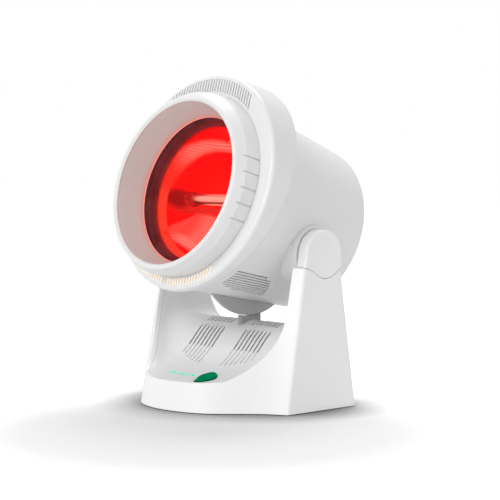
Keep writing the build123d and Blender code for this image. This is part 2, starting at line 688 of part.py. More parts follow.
def tact_switch():
    """Housing of the small push switch under the button, bored for its plunger."""
    z0 = BOARD_Z + BOARD_T
    z1 = z0 + SWITCH_H
    half = SWITCH_SIZE / 2
    housing = block(BUTTON_X - half, BUTTON_X + half, BUTTON_Y - half, BUTTON_Y + half, z0, z1)
    return housing - bar_z(PLUNGER_R + RUNNING_GAP, BUTTON_X, BUTTON_Y, z0 + SWITCH_FLOOR_T, z1)


def switch_plunger():
    """Plunger that the button's stem stands on; it goes down into the switch with the button."""
    z1 = BOARD_Z + BOARD_T + SWITCH_H
    foot = z1 - SWITCH_H + SWITCH_FLOOR_T + BUTTON_TRAVEL + SEAT_GAP
    return bar_z(PLUNGER_R, BUTTON_X, BUTTON_Y, foot, z1 + PLUNGER_H)


def indicator_leds():
    """One light-emitting diode under each window."""
    z = BOARD_Z + BOARD_T
    y = CONTROL_Y + WINDOW_H / 2
    return [bar_z(LED_R, x, y, z, WINDOW_FOOT_Z - BODY_GAP) for x in WINDOW_X]


def bottom_plate():
    """Floor of the stand with vents, foot recesses and standoffs for the board."""
    z1 = FLOOR_Z + FLOOR_T
    plate = stand_block(FLOOR_Z, z1, SHELL_WALL + SEAT_GAP)
    for x, y in FEET:
        plate -= bar_z(FOOT_R + SEAT_GAP, x, y, 0, FOOT_T + SEAT_GAP)
    for x, y in BOSSES:
        plate -= bar_z(SCREW_R + SEAT_GAP, x, y, 0, z1)
        plate -= bar_z(SCREW_HEAD_R + SEAT_GAP, x, y, 0, FLOOR_Z + SCREW_HEAD_T)
    for k in range(FLOOR_VENTS):
        x = (k - (FLOOR_VENTS - 1) / 2) * FLOOR_VENT_PITCH
        plate -= Pos(x, 0, 0) * extrude(SlotOverall(FLOOR_VENT_L, FLOOR_VENT_W, rotation=90), AXIS_Z)
    for x in (BOARD_LEFT + STANDOFF_IN, BOARD_RIGHT - STANDOFF_IN):
        for y in (BOARD_Y[0] + STANDOFF_IN, BOARD_Y[1] - STANDOFF_IN):
            plate += bar_z(STANDOFF_R, x, y, z1, BOARD_Z)
    return plate


def rubber_feet():
    """Four round feet glued into the floor's recesses."""
    feet = []
    for x, y in FEET:
        foot = bar_z(FOOT_R, x, y, 0, FOOT_T)
        feet.append(chamfer(foot.edges().sort_by(Axis.Z)[0], FOOT_CHAMFER))
    return feet


def base_screws():
    """Screws from the floor up into the shell's bosses."""
    screws = []
    for x, y in BOSSES:
        head = bar_z(SCREW_HEAD_R, x, y, FLOOR_Z, FLOOR_Z + SCREW_HEAD_T)
        tip_z = FLOOR_Z + FLOOR_T + SCREW_L - SEAT_GAP
        screws.append(head + bar_z(SCREW_R - SEAT_GAP, x, y, FLOOR_Z, tip_z))
    return screws


def cord_gland():
    """Round bush in the rear wall where the cord goes in, with a flange on each side of the wall."""
    inner_end = -SHELL_WALL - SEAT_GAP - INLET_FLANGE_T
    bush = bar_z(INLET_R, 0, 0, inner_end, INLET_OUT)
    bush += bar_z(INLET_FLANGE_R, 0, 0, SEAT_GAP, SEAT_GAP + INLET_FLANGE_T)
    bush += bar_z(INLET_FLANGE_R, 0, 0, inner_end, -SHELL_WALL - SEAT_GAP)
    return inlet_plane() * (bush - bar_z(CORD_R, 0, 0, inner_end - 1, INLET_OUT + 1))


# ================================================================ head
def drum_form(grow, inset):
    """Solid form of the drum, grown by `grow`, with its ends drawn in by `inset`."""
    front_r = DRUM_R + DRUM_TAPER * DRUM_FRONT_S + grow
    rear_r = DRUM_R + DRUM_TAPER * DRUM_REAR_S + grow
    front_s = DRUM_FRONT_S + inset
    rear_s = DRUM_REAR_S + inset
    form = turned([(front_s, 0), (front_s, front_r), (rear_s, rear_r), (rear_s, 0)], DRUM_N)
    rear_edge = form.edges().filter_by(GeomType.CIRCLE).sort_by(Axis.Y)[-1]
    return fillet(rear_edge, DRUM_EDGE_R + grow)


def rear_housing():
    """Tapered drum with trunnion bosses, belly slots, rear slots and lugs for the flange."""
    outer = drum_form(0.0, 0.0)
    inner = drum_form(-DRUM_WALL, DRUM_WALL)
    for side in both_sides(trunnion_boss(0.0)):
        outer += side
    for side in both_sides(trunnion_boss(DRUM_WALL)):
        inner += side
    housing = outer - inner
    hub = bar_x(TRUNNION_HUB_R, TRUNNION_INNER_X, TRUNNION_BOSS_X - DRUM_WALL / 2)
    for side in both_sides(hub):
        housing += side
    for side in both_sides(bar_x(TRUNNION_R + SEAT_GAP, 0, STAND_W)):
        housing -= side
    housing = housing - belly_slots() - rear_slots()
    for angle in LUG_ANGLES:
        housing += lug(angle)
    return housing


def trunnion_boss(inset):
    """Round boss on the drum's right side, drawn in by `inset`."""
    boss_r = TRUNNION_BOSS_R - inset
    form = bar_x(boss_r, TRUNNION_ROOT_X, TRUNNION_BOSS_X - inset)
    rim = form.edges().filter_by(GeomType.CIRCLE).sort_by(Axis.X)[-1]
    return fillet(rim, TRUNNION_BOSS_EDGE)


def belly_slots():
    """Slots along the drum above the tilt sector, in a field with rounded ends on each side."""
    cuts = []
    half = BELLY_SLOT_W / 2
    for k in range(BELLY_SLOTS):
        rear_s = BELLY_REAR_S - BELLY_REAR_CURVE * sqrt(k)
        front_s = BELLY_FRONT_S - BELLY_FRONT_CURVE * max(0, k - BELLY_LONG_SLOTS) ** 2
        slot = block(DRUM_R - 8 * DRUM_WALL, DRUM_R + 8 * DRUM_WALL, -front_s, -rear_s, -half, half)
        turn = BELLY_FIRST + k * BELLY_STEP
        cuts.extend(both_sides(Pos(0, 0, DRUM_N) * Rot(0, turn, 0) * slot))
    return cuts


def rear_slots():
    """Level slots through the drum's rear wall."""
    cuts = []
    for k in range(REAR_SLOTS):
        up = (k - (REAR_SLOTS - 1) / 2) * REAR_SLOT_PITCH
        half_l = sqrt(REAR_SLOTS_R ** 2 - up ** 2)
        n = DRUM_N + up
        y = -DRUM_REAR_S
        half_h = REAR_SLOT_H / 2
        cuts.append(block(-half_l, half_l, y - 2 * DRUM_WALL, y + DRUM_WALL, n - half_h, n + half_h))
    return cuts


def lug(angle):
    """Lug inside the drum's mouth that a flange screw goes into."""
    y0, y1 = DRUM_WALL - FLANGE_S, DRUM_WALL - FLANGE_S + LUG_L
    body = block(LUG_IN_R, LUG_OUT_R, y0, y1, -LUG_W / 2, LUG_W / 2)
    hole = Pos(LUG_SCREW_R, (y0 + y1) / 2, 0) * Rot(90, 0, 0) * Cylinder(SCREW_R, 2 * LUG_L)
    return Pos(0, 0, DRUM_N) * Rot(0, -angle, 0) * (body - hole)


def flange_form(inset):
    """Solid form of the vented flange between its upright front and its leaning rear."""
    front_s = FLANGE_S - inset
    rear_s = FLANGE_REAR_S + inset
    front = section(FLANGE_FRONT_R - inset, front_s, FLANGE_N)
    rear = section(FLANGE_REAR_R - inset, rear_s, FLANGE_N, FLANGE_REAR_LEAN)
    return rounds([rear, front])


def vent_flange():
    """Hood round the drum's mouth: front wall with comb slots, rim, rear wall and inner tube."""
    form = fillet(end_circles(flange_form(0.0))[0], FLANGE_FRONT_EDGE)
    form = fillet(end_circles(form)[-1], FLANGE_REAR_EDGE)
    hood = form - flange_form(FLANGE_WALL) - drum_form(SEAT_GAP, 0.0)
    skirt_end = FLANGE_S - SKIRT_DEPTH
    outer_r = SKIRT_R + SKIRT_WALL
    hood += turned([(skirt_end, 0), (skirt_end, outer_r), (FLANGE_S, outer_r), (FLANGE_S, 0)], SHADE_N)
    bore_end = FLANGE_S + FLANGE_WALL
    hood -= turned([(0, 0), (0, SKIRT_R), (bore_end, SKIRT_R), (bore_end, 0)], SHADE_N)
    hood = hood - comb_slots()
    for angle in LUG_ANGLES:
        hole = Pos(LUG_SCREW_R, -FLANGE_S, 0) * Rot(90, 0, 0) * Cylinder(SCREW_R + SEAT_GAP, 4 * FLANGE_WALL)
        hood -= Pos(0, 0, DRUM_N) * Rot(0, -angle, 0) * hole
    return hood


def end_circles(form):
    """Full circles among a form's edges, the foremost first."""
    return form.edges().filter_by(lambda e: e.is_closed).sort_by(Axis.Y)


def ring_n(s):
    """Height of the front ring's centre at station s."""
    return LIP_N + (LIP_S - s) * RING_SLANT


def comb_slots():
    """Upright slots through the flange's front wall: a wide fan on top and two groups below."""
    s0, s1 = FLANGE_S - 2 * FLANGE_WALL, FLANGE_S + FLANGE_WALL
    outer = turned([(s0, 0), (s0, COMB_OUTER_R), (s1, COMB_OUTER_R), (s1, 0)], FLANGE_N)
    inner = turned([(s0, 0), (s0, COMB_INNER_R), (s1, COMB_INNER_R), (s1, 0)], ring_n(FLANGE_S))
    annulus = outer - inner
    places = [((k - (COMB_TOP_SLOTS - 1) / 2) * COMB_PITCH, 1) for k in range(COMB_TOP_SLOTS)]
    left, right = COMB_BOTTOM_SLOTS
    places += [(COMB_GAP_X - (k + COMB_GAP_PITCHES) * COMB_PITCH, -1) for k in range(left)]
    places += [(COMB_GAP_X + (k + COMB_GAP_PITCHES) * COMB_PITCH, -1) for k in range(right)]
    cuts = []
    for x, side in places:
        n0, n1 = sorted((FLANGE_N, FLANGE_N + side * 2 * COMB_OUTER_R))
        slot = block(x - COMB_SLOT_W / 2, x + COMB_SLOT_W / 2, -s1, -s0, n0, n1)
        cuts.append(slot & annulus)
    return cuts


def front_ring():
    """Grip ring with a turned-in lip and short grip grooves on both sides."""
    outer = rounds([section(r, s, ring_n(s)) for s, r in LIP_FACE])
    hollow_path = [(LIP_FACE[0][0] - 1, LIP_FACE[0][1]), LIP_FACE[1], (LIP_BACK_S, LIP_FACE[3][1])]
    hollow = rounds([section(r - RING_WALL, s, ring_n(s)) for s, r in hollow_path])
    face_s = LIP_FACE[-1][0]
    mouth = turned([
        (SHADE_REAR_S, 0), (SHADE_REAR_S, LIP_R), (LIP_S, LIP_R), (face_s, LIP_BEVEL_R),
        (face_s + 1, LIP_BEVEL_R), (face_s + 1, 0),
    ], LIP_N)
    ring = outer - hollow - mouth
    core = rounds([section(r - GRIP_DEPTH, s, ring_n(s)) for s, r in LIP_FACE[:4]])
    groove_l = GRIP_FRONT_S - FLANGE_S + GRIP_W
    groove = Plane(origin=(LIP_R, (groove_l / 2 - GRIP_FRONT_S), 0), x_dir=(0, 1, 0), z_dir=(1, 0, 0))
    groove = extrude(groove * SlotOverall(groove_l, GRIP_W), COMB_OUTER_R - LIP_R)
    for k in range(GRIPS):
        n = GRIP_MIDDLE_N + (k - (GRIPS - 1) / 2) * GRIP_PITCH
        for side in both_sides(Pos(0, 0, n) * groove):
            ring -= (side & outer) - core
    return ring


def shade_cone():
    """Conical shade from the ring's lip back to the glass, flanged at both ends."""
    front_s = LIP_BACK_S - SEAT_GAP
    rear_s = SHADE_REAR_S
    t = SHADE_WALL
    return turned([
        (rear_s, SHADE_REAR_R), (front_s, LIP_R - SEAT_GAP), (front_s, SHADE_FLANGE_R),
        (front_s - t, SHADE_FLANGE_R), (front_s - t, LIP_R + t / 2), (rear_s + t, SHADE_REAR_R + t + t / 2),
        (rear_s + t, SHADE_SEAT_R), (rear_s, SHADE_SEAT_R),
    ], SHADE_N)


def glass_front():
    """Station of the glass plate's front face."""
    return SHADE_REAR_S - SEAL_T


def glass_seal():
    """Flat silicone ring between the shade and the glass."""
    s1 = SHADE_REAR_S
    s0 = s1 - SEAL_T
    return turned([(s0, SEAL_R), (s1, SEAL_R), (s1, GLASS_R), (s0, GLASS_R)], SHADE_N)


def filter_glass():
    """Round glass-ceramic plate."""
    s1 = glass_front()
    s0 = s1 - GLASS_T
    plate = turned([(s0, 0), (s0, GLASS_R), (s1, GLASS_R), (s1, 0)], SHADE_N)
    return chamfer(plate.edges().filter_by(GeomType.CIRCLE), GLASS_CHAMFER)


def carrier_rear():
    """Station of the glass carrier's rear face."""
    return glass_front() - GLASS_T - CARRIER_DEPTH


def glass_carrier():
    """Dark ring behind and round the glass that also carries reflector and heat shield."""
    s0 = carrier_rear()
    ledge = glass_front() - GLASS_T
    rim = glass_front()
    return turned([
        (s0, REFLECTOR_R), (s0, CARRIER_R), (rim, CARRIER_R), (rim, GLASS_R + SEAT_GAP),
        (ledge, GLASS_R + SEAT_GAP), (ledge, CARRIER_BORE_R), (s0 + CARRIER_T, CARRIER_BORE_R),
        (s0 + CARRIER_T, REFLECTOR_R),
    ], SHADE_N)


def bowl_points(back):
    """Points of the reflector's parabola from the axis to the rim, moved outward by `back`."""
    rim_s = carrier_rear()
    points = []
    for k in range(BOWL_POINTS + 1):
        r = REFLECTOR_R * k / BOWL_POINTS
        slope = 2 * REFLECTOR_DEPTH * r / REFLECTOR_R ** 2
        s = rim_s - REFLECTOR_DEPTH * (1 - (r / REFLECTOR_R) ** 2)
        away = back / sqrt(1 + slope ** 2)
        points.append((r + away * slope, -(s - away)))
    return points


def reflector():
    """Bright bowl behind the tube, flanged at its rim, with holes for the tube's ends."""
    rim_y = -carrier_rear()
    inner = bowl_points(0.0)
    outer = bowl_points(REFLECTOR_T)
    edges = [
        Spline(*inner, tangents=[(1, 0), (REFLECTOR_R, -2 * REFLECTOR_DEPTH)]),
        Polyline(inner[-1], (CARRIER_R, rim_y), (CARRIER_R, rim_y + REFLECTOR_T),
                 (outer[-1][0], rim_y + REFLECTOR_T), outer[-1]),
        Spline(*reversed(outer), tangents=[(-REFLECTOR_R, 2 * REFLECTOR_DEPTH), (-1, 0)]),
        Line(outer[0], inner[0]),
    ]
    bowl = Pos(0, 0, SHADE_N) * revolve(make_face(edges), Axis.Y)
    tube_y = rim_y + TUBE_BACK
    return bowl - bar_x(TUBE_R + HOLE_MARGIN, -SHIELD_R, SHIELD_R, tube_y, SHADE_N)


def heat_shield():
    """Metal can round the reflector."""
    s1 = carrier_rear() - REFLECTOR_T
    s0 = s1 - SHIELD_DEPTH
    t = SHIELD_T
    return turned([
        (s1, CARRIER_R), (s1 - t, CARRIER_R), (s1 - t, SHIELD_R), (s0, SHIELD_R), (s0, 0),
        (s0 + t, 0), (s0 + t, SHIELD_R - t), (s1, SHIELD_R - t),
    ], SHADE_N)


def tube_y():
    """Y of the tube in the head's axes."""
    return -(carrier_rear() - TUBE_BACK)


def halogen_tube():
    """Closed quartz tube across the reflector."""
    tube = bar_x(TUBE_R, -TUBE_HALF_L, TUBE_HALF_L, tube_y(), SHADE_N)
    half = TUBE_HALF_L - TUBE_WALL
    return tube - bar_x(TUBE_R - TUBE_WALL, -half, half, tube_y(), SHADE_N)


def filament():
    """Wire of the tube, as long as its inside."""
    half = TUBE_HALF_L - TUBE_WALL
    return bar_x(FILAMENT_R, -half, half, tube_y(), SHADE_N)


def tube_end_caps():
    """Ceramic caps on the tube's ends."""
    cap = bar_x(END_CAP_R, TUBE_HALF_L, TUBE_HALF_L + END_CAP_L, tube_y(), SHADE_N)
    return both_sides(cap)


def lamp_holders():
    """Ceramic blocks on studs from the heat shield, bored for the tube's end caps."""
    x0 = TUBE_HALF_L + END_CAP_L - HOLDER_GRIP
    x1 = TUBE_HALF_L + END_CAP_L + HOLDER_WALL
    y, half = tube_y(), HOLDER_W / 2
    holder = block(x0, x1, y - half, y + half, SHADE_N - half, SHADE_N + half)
    holder -= bar_x(END_CAP_R + SEAT_GAP, 0, TUBE_HALF_L + END_CAP_L, y, SHADE_N)
    stud_end = sqrt((SHIELD_R - SHIELD_T) ** 2 - HOLDER_STUD_R ** 2)
    holder += bar_x(HOLDER_STUD_R, x1 - HOLDER_WALL, stud_end - SEAT_GAP, y, SHADE_N)
    return both_sides(holder)


def carrier_screws():
    """Screws through shield and reflector flange into the glass carrier."""
    screws = []
    s1 = carrier_rear() - REFLECTOR_T - SHIELD_T
    for k in range(CARRIER_SCREWS):
        head = Rot(90, 0, 0) * Cylinder(CARRIER_HEAD_R, SCREW_HEAD_T)
        head = Pos(CARRIER_SCREW_R, SCREW_HEAD_T / 2 - s1, 0) * head
        turn = Rot(0, (k + 0.5) * 360 / CARRIER_SCREWS, 0)
        screws.append(Pos(0, 0, SHADE_N) * turn * head)
    return screws


def shield_rear():
    """Station of the heat shield's rear face."""
    return carrier_rear() - REFLECTOR_T - SHIELD_DEPTH


def thermal_cutout():
    """Temperature switch on the heat shield's rear face, with two blades."""
    s1 = shield_rear()
    s0 = s1 - CUTOUT_T
    n = SHADE_N + CUTOUT_UP
    body = turned([(s0, 0), (s0, CUTOUT_R), (s1, CUTOUT_R), (s1, 0)], n)
    thick, tall = CUTOUT_BLADE
    for x in (-CUTOUT_R / 2, CUTOUT_R / 2):
        body += block(x - thick / 2, x + thick / 2, -s0, CUTOUT_T - s0, n - tall / 2, n + tall / 2)
    return body


def terminal_block():
    """Screw terminals on the drum's rear wall, below its slots."""
    y1 = -DRUM_REAR_S - DRUM_WALL - SEAT_GAP
    wide, deep, tall = TERMINAL
    n0 = DRUM_N - TERMINAL_DOWN
    return block(-wide / 2, wide / 2, y1 - deep, y1, n0 - tall / 2, n0 + tall / 2)


def tilt_sector():
    """Round-edged fin under the drum, concentric with the tilt axis."""
    disc = bar_x(SECTOR_R, -SECTOR_T / 2, SECTOR_T / 2)
    below = block(-SECTOR_T, SECTOR_T, -SECTOR_R, SECTOR_R, -SECTOR_R, 0)
    return (disc & below) - drum_form(0.0, 0.0)


def trunnion_pin():
    """Right-hand trunnion, drilled for its screw."""
    x1 = INNER_HALF_W + PANEL_WALL + BEARING_T + BODY_GAP
    return bar_x(TRUNNION_R, TRUNNION_INNER_X, x1) - bar_x(SCREW_R + SEAT_GAP, x1 - TRUNNION_SCREW_L, STAND_W)


def friction_washers():
    """Washers between the drum's bosses and the pivot caps."""
    washer = bar_x(WASHER_R, TRUNNION_BOSS_X, TRUNNION_BOSS_X + WASHER_T)
    washer -= bar_x(TRUNNION_R + SEAT_GAP, 0, STAND_W)
    return both_sides(washer)


def stop_plates():
    """Discs on the trunnions' ends, each with a tab that meets the bearing plate's pegs."""
    x0 = INNER_HALF_W + PANEL_WALL + BEARING_T + BODY_GAP
    disc = bar_x(STOP_R, x0, x0 + STOP_T)
    disc += block(x0, x0 + STOP_T, -STOP_TAB_W / 2, STOP_TAB_W / 2, -STOP_TAB_REACH, 0)
    disc -= bar_x(SCREW_R + SEAT_GAP, 0, STAND_W)
    return both_sides(Pos(0, 0, AXIS_Z) * disc)


def trunnion_screws():
    """Screws that hold the stop plates to the trunnions."""
    x1 = INNER_HALF_W + PANEL_WALL + BEARING_T + BODY_GAP + STOP_T
    screw = bar_x(SCREW_R, x1 - STOP_T - TRUNNION_SCREW_L + SCREW_R, x1)
    screw += bar_x(TRUNNION_HEAD_R, x1, x1 + TRUNNION_HEAD_T)
    return both_sides(screw)


def housing_screws():
    """Screws that hold the vented flange to the drum's lugs."""
    screws = []
    for angle in LUG_ANGLES:
        shank = Pos(0, SCREW_L / 2 - FLANGE_S, 0) * Rot(90, 0, 0) * Cylinder(SCREW_R - SEAT_GAP, SCREW_L)
        head = Rot(90, 0, 0) * Cylinder(HOUSING_HEAD_R, HOUSING_HEAD_T)
        head = Pos(0, -FLANGE_S - HOUSING_HEAD_T / 2, 0) * head
        screws.append(Pos(0, 0, DRUM_N) * Rot(0, -angle, 0) * Pos(LUG_SCREW_R, 0, 0) * (shank + head))
    return screws


# ================================================================ output
def write_both(name, piece, out):
    """Write a right-hand piece and its mirror image."""
    right, left = both_sides(piece)
    out(f"{name}_right", right)
    out(f"{name}_left", left)


def group(pieces):
    """Separate solids that share one node."""
    return Compound([solid for piece in pieces for solid in piece.solids()])


def main():
    os.makedirs("parts", exist_ok=True)
    stand_out("base_shell", base_shell())
    stand_out("deck_panel", deck_panel())
    write_both("pivot_cap", pivot_cap(), stand_out)
    write_both("bearing_plate", bearing_plate(), stand_out)
    stand_out("bearing_screws", group(bearing_screws()))
    stand_out("guide_post", guide_post())
    stand_out("bottom_plate", bottom_plate())
    stand_out("rubber_feet", group(rubber_feet()))
    stand_out("base_screws", group(base_screws()))
    stand_out("cord_gland", cord_gland())
    stand_out("control_board", control_board())
    stand_out("board_parts", group(board_parts()))
    stand_out("tact_switch", tact_switch())
    stand_out("switch_plunger", switch_plunger())
    stand_out("indicator_leds", group(indicator_leds()))
    stand_out("indicator_windows", group(indicator_windows()))
    stand_out("power_button", power_button())

    head_out("rear_housing", rear_housing())
    head_out("vent_flange", vent_flange())
    head_out("housing_screws", group(housing_screws()))
    head_out("front_ring", front_ring())
    head_out("shade_cone", shade_cone())
    head_out("glass_seal", glass_seal())
    head_out("filter_glass", filter_glass())
    head_out("glass_carrier", glass_carrier())
    head_out("reflector", reflector())
    head_out("heat_shield", heat_shield())
    head_out("carrier_screws", group(carrier_screws()))
    head_out("halogen_tube", halogen_tube())
    head_out("filament", filament())
    head_out("tube_end_caps", group(tube_end_caps()))
    head_out("lamp_holders", group(lamp_holders()))
    head_out("thermal_cutout", thermal_cutout())
    head_out("terminal_block", terminal_block())
    head_out("tilt_sector", tilt_sector())
    write_both("trunnion_pin", Pos(0, 0, AXIS_Z) * trunnion_pin(), stand_out)
    stand_out("friction_washers", group([Pos(0, 0, AXIS_Z) * w for w in friction_washers()]))
    stand_out("stop_plates", group(stop_plates()))
    stand_out("trunnion_screws", group([Pos(0, 0, AXIS_Z) * s for s in trunnion_screws()]))


main()
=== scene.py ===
from math import cos, pi, radians, sin

import bpy
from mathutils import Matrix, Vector


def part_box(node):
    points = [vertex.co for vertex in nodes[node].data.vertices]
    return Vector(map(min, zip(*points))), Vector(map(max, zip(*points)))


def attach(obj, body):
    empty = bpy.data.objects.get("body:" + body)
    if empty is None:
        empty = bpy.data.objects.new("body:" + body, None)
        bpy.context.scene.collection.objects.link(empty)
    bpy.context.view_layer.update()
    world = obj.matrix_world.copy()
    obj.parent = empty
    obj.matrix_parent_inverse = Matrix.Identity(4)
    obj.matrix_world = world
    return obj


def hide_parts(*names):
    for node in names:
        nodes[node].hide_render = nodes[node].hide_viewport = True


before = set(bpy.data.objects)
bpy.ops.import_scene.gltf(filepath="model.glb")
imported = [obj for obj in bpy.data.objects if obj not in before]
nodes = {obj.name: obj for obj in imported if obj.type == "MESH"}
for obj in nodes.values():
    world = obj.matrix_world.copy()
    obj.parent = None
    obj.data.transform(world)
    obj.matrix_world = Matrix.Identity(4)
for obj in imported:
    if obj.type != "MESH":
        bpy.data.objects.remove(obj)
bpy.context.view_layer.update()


# ---------------------------------------------------------------- camera
# A long lens looks at the lamp from the front right, just above the level of its tilt axis.
# The lamp is shown free-standing, with its whole height in view.
AZIMUTH = radians(47.0)
ELEVATION = radians(3.4)
AIM = Vector((0.0001, 0.010716, 0.1296))
DISTANCE = 1.4407
SENSOR = 36.0
FOCAL_SHARE = 3.3152

camera_data = bpy.data.cameras.new("camera")
camera_data.sensor_width = SENSOR
camera_data.lens = FOCAL_SHARE * SENSOR
camera_data.clip_end = 50.0
camera = bpy.data.objects.new("camera", camera_data)
bpy.context.collection.objects.link(camera)
backward = Vector((sin(AZIMUTH) * cos(ELEVATION), -cos(AZIMUTH) * cos(ELEVATION), sin(ELEVATION)))
camera.location = AIM + DISTANCE * backward
camera.rotation_euler = (pi / 2 - ELEVATION, 0.0, AZIMUTH)
bpy.context.scene.camera = camera
bpy.context.scene.view_settings.view_transform = "Standard"


# ---------------------------------------------------------------- studio
# A white table runs out into a white backdrop. Both show white to the camera, to gloss and to
# glass, and the table still takes the lamp's shadow, with painted contact shade darkest where the
# stand nearly touches it.
FLOOR_SIZE = 9.0
FLOOR_COLOUR = (0.92, 0.92, 0.92, 1.0)
FLOOR_MOTTLE = (0.9, 0.9, 0.905, 1.0)
FLOOR_BOUNCE = (0.85, 0.85, 0.85, 1.0)
FLOOR_LIFT = 0.6
LIFT_FROM, LIFT_TO = 0.13, 0.29
SHADE_X, SHADE_Y = 0.1, -0.13
CONTACT_REACH = 0.05
CONTACT_FALL = 2.5
CONTACT_SHADE = (0.08, 0.08, 0.08, 1.0)
WORLD_LIGHT = 0.55
WHITE_LIGHT = (1.0, 1.0, 1.0, 1.0)


class Signal:
    """A socket of a finish's node tree; arithmetic on it adds Math nodes."""

    def __init__(self, finish, socket):
        self.finish = finish
        self.socket = socket

    def math(self, operation, *terms):
        return self.finish.node("Math", {"operation": operation}, dict(enumerate(terms)))

    def __add__(self, other):
        return self.math("ADD", self, other)

    def __radd__(self, other):
        return self.math("ADD", other, self)

    def __sub__(self, other):
        return self.math("SUBTRACT", self, other)

    def __rsub__(self, other):
        return self.math("SUBTRACT", other, self)

    def __mul__(self, other):
        return self.math("MULTIPLY", self, other)

    def __rmul__(self, other):
        return self.math("MULTIPLY", other, self)

    def __truediv__(self, other):
        return self.math("DIVIDE", self, other)

    def __pow__(self, other):
        return self.math("POWER", self, other)

    def __abs__(self):
        return self.math("ABSOLUTE", self)

    def sine(self):
        return self.math("SINE", self)

    def least(self, other):
        return self.math("MINIMUM", self, other)

    def most(self, other):
        return self.math("MAXIMUM", self, other)

    def rise(self, low, high):
        """Smooth rise from 0 at low to 1 at high; low may be the larger one."""
        settings = {"interpolation_type": "SMOOTHSTEP"}
        return self.finish.node("MapRange", settings, {0: self, 1: low, 2: high, 3: 0.0, 4: 1.0})

    def between(self, low, high, edge):
        """1 between low and high, with soft edges as wide as `edge`."""
        return self.rise(low - edge, low) * (1.0 - self.rise(high, high + edge))


class Finish:
    """A procedural material, or the world, built up node by node."""

    def __init__(self, name, holder=None):
        self.material = holder or bpy.data.materials.new(name)
        self.material.use_nodes = True
        self.tree = self.material.node_tree
        self.tree.nodes.clear()

    def node(self, kind, settings=None, inputs=None, output=0):
        """Add a node, make its settings, then set or link its sockets."""
        made = self.tree.nodes.new("ShaderNode" + kind)
        for key, value in (settings or {}).items():
            setattr(made, key, value)
        for key, value in (inputs or {}).items():
            if isinstance(value, Signal):
                self.tree.links.new(value.socket, made.inputs[key])
            else:
                made.inputs[key].default_value = value
        return Signal(self, made.outputs[output]) if len(made.outputs) else None

    def blend(self, share, first, second):
        """One colour into another."""
        return self.node("Mix", {"data_type": "RGBA"}, {0: share, 6: first, 7: second}, output=2)

    def place(self):
        """Position on the piece, in metres."""
        return self.node("TexCoord", output="Object")

    def axes(self):
        """The three coordinates of that position."""
        where = self.place()
        return [self.node("SeparateXYZ", None, {0: where}, output=name) for name in "XYZ"]

    def noise(self, scale, detail=2.0, stretch=(1.0, 1.0, 1.0)):
        """Even noise about 0.5, `scale` lumps to the metre."""
        where = self.node("Mapping", None, {"Vector": self.place(), "Scale": stretch})
        return self.node("TexNoise", None, {"Vector": where, "Scale": scale, "Detail": detail})

    def surface(self, shader, end="OutputMaterial"):
        """Close the tree with its output."""
        self.node(end, None, {"Surface": shader})
        return self.material


def sheet_of_points(name, points, faces):
    """Mesh object from points and faces."""
    mesh = bpy.data.meshes.new(name)
    mesh.from_pydata([tuple(p) for p in points], [], faces)
    mesh.update()
    made = bpy.data.objects.new(name, mesh)
    bpy.context.collection.objects.link(made)
    return made


half = FLOOR_SIZE / 2
corners = [(-half, -half, 0), (half, -half, 0), (half, half, 0), (-half, half, 0)]
floor = sheet_of_points("floor", corners, [(0, 1, 2, 3)])
table = Finish("white_table")
tone = table.blend(table.noise(3.0), FLOOR_COLOUR, FLOOR_MOTTLE)
# Painted contact shade: an occlusion node darkens the table's colour near the stand.
open_sky = table.node("AmbientOcclusion", {"samples": 8}, {"Distance": CONTACT_REACH}, output="AO")
tone = table.blend(open_sky ** CONTACT_FALL, CONTACT_SHADE, tone)
seen = table.node("LightPath", output="Is Camera Ray")
lit = table.node("BsdfPrincipled", None, {
    "Base Color": table.blend(seen, FLOOR_BOUNCE, tone), "Roughness": 1.0, "Specular IOR Level": 0.0})
table_x, table_y = table.axes()[:2]
from_shade = ((table_x - SHADE_X) ** 2.0 + (table_y - SHADE_Y) ** 2.0) ** 0.5
lift = table.node("Emission", None, {"Color": WHITE_LIGHT, "Strength": FLOOR_LIFT})
lifted = table.node("AddShader", None, {0: lit, 1: lift})
floor.data.materials.append(table.surface(table.node("MixShader", None, {
    0: seen * from_shade.rise(LIFT_FROM, LIFT_TO), 1: lit, 2: lifted})))

world = bpy.data.worlds.new("studio")
bpy.context.scene.world = world
sky = Finish("studio", world)
shows_white = sky.node("LightPath", output="Is Camera Ray")
for ray in ("Is Glossy Ray", "Is Transmission Ray"):
    shows_white = shows_white.most(sky.node("LightPath", output=ray))
sky_light = WORLD_LIGHT + shows_white * (1.0 - WORLD_LIGHT)
sky.surface(sky.node("Background", None, {"Color": WHITE_LIGHT, "Strength": sky_light}), "OutputWorld")


# ---------------------------------------------------------------- lights
# A large soft panel in front and above, a weaker one at the right, and one over the lamp's back
# that throws its shadow forward on the table.
LAMP_CENTRE = Vector((0.0, 0.0, 0.15))


def soft_panel(name, azimuth, elevation, distance, size, watts):
    """Square area light that looks at the lamp."""
    data = bpy.data.lights.new(name, "AREA")
    data.shape = "SQUARE"
    data.size = size
    data.energy = watts
    panel = bpy.data.objects.new(name, data)
    bpy.context.collection.objects.link(panel)
    a, e = radians(azimuth), radians(elevation)
    away = Vector((sin(a) * cos(e), -cos(a) * cos(e), sin(e)))
    panel.location = LAMP_CENTRE + distance * away
    panel.rotation_euler = away.to_track_quat("Z", "Y").to_euler()


soft_panel("front_panel", azimuth=5.0, elevation=26.0, distance=1.7, size=1.0, watts=12.4)
soft_panel("side_panel", azimuth=100.0, elevation=12.0, distance=1.8, size=1.0, watts=2.8)
soft_panel("back_panel", azimuth=215.0, elevation=58.0, distance=1.6, size=0.8, watts=10.0)


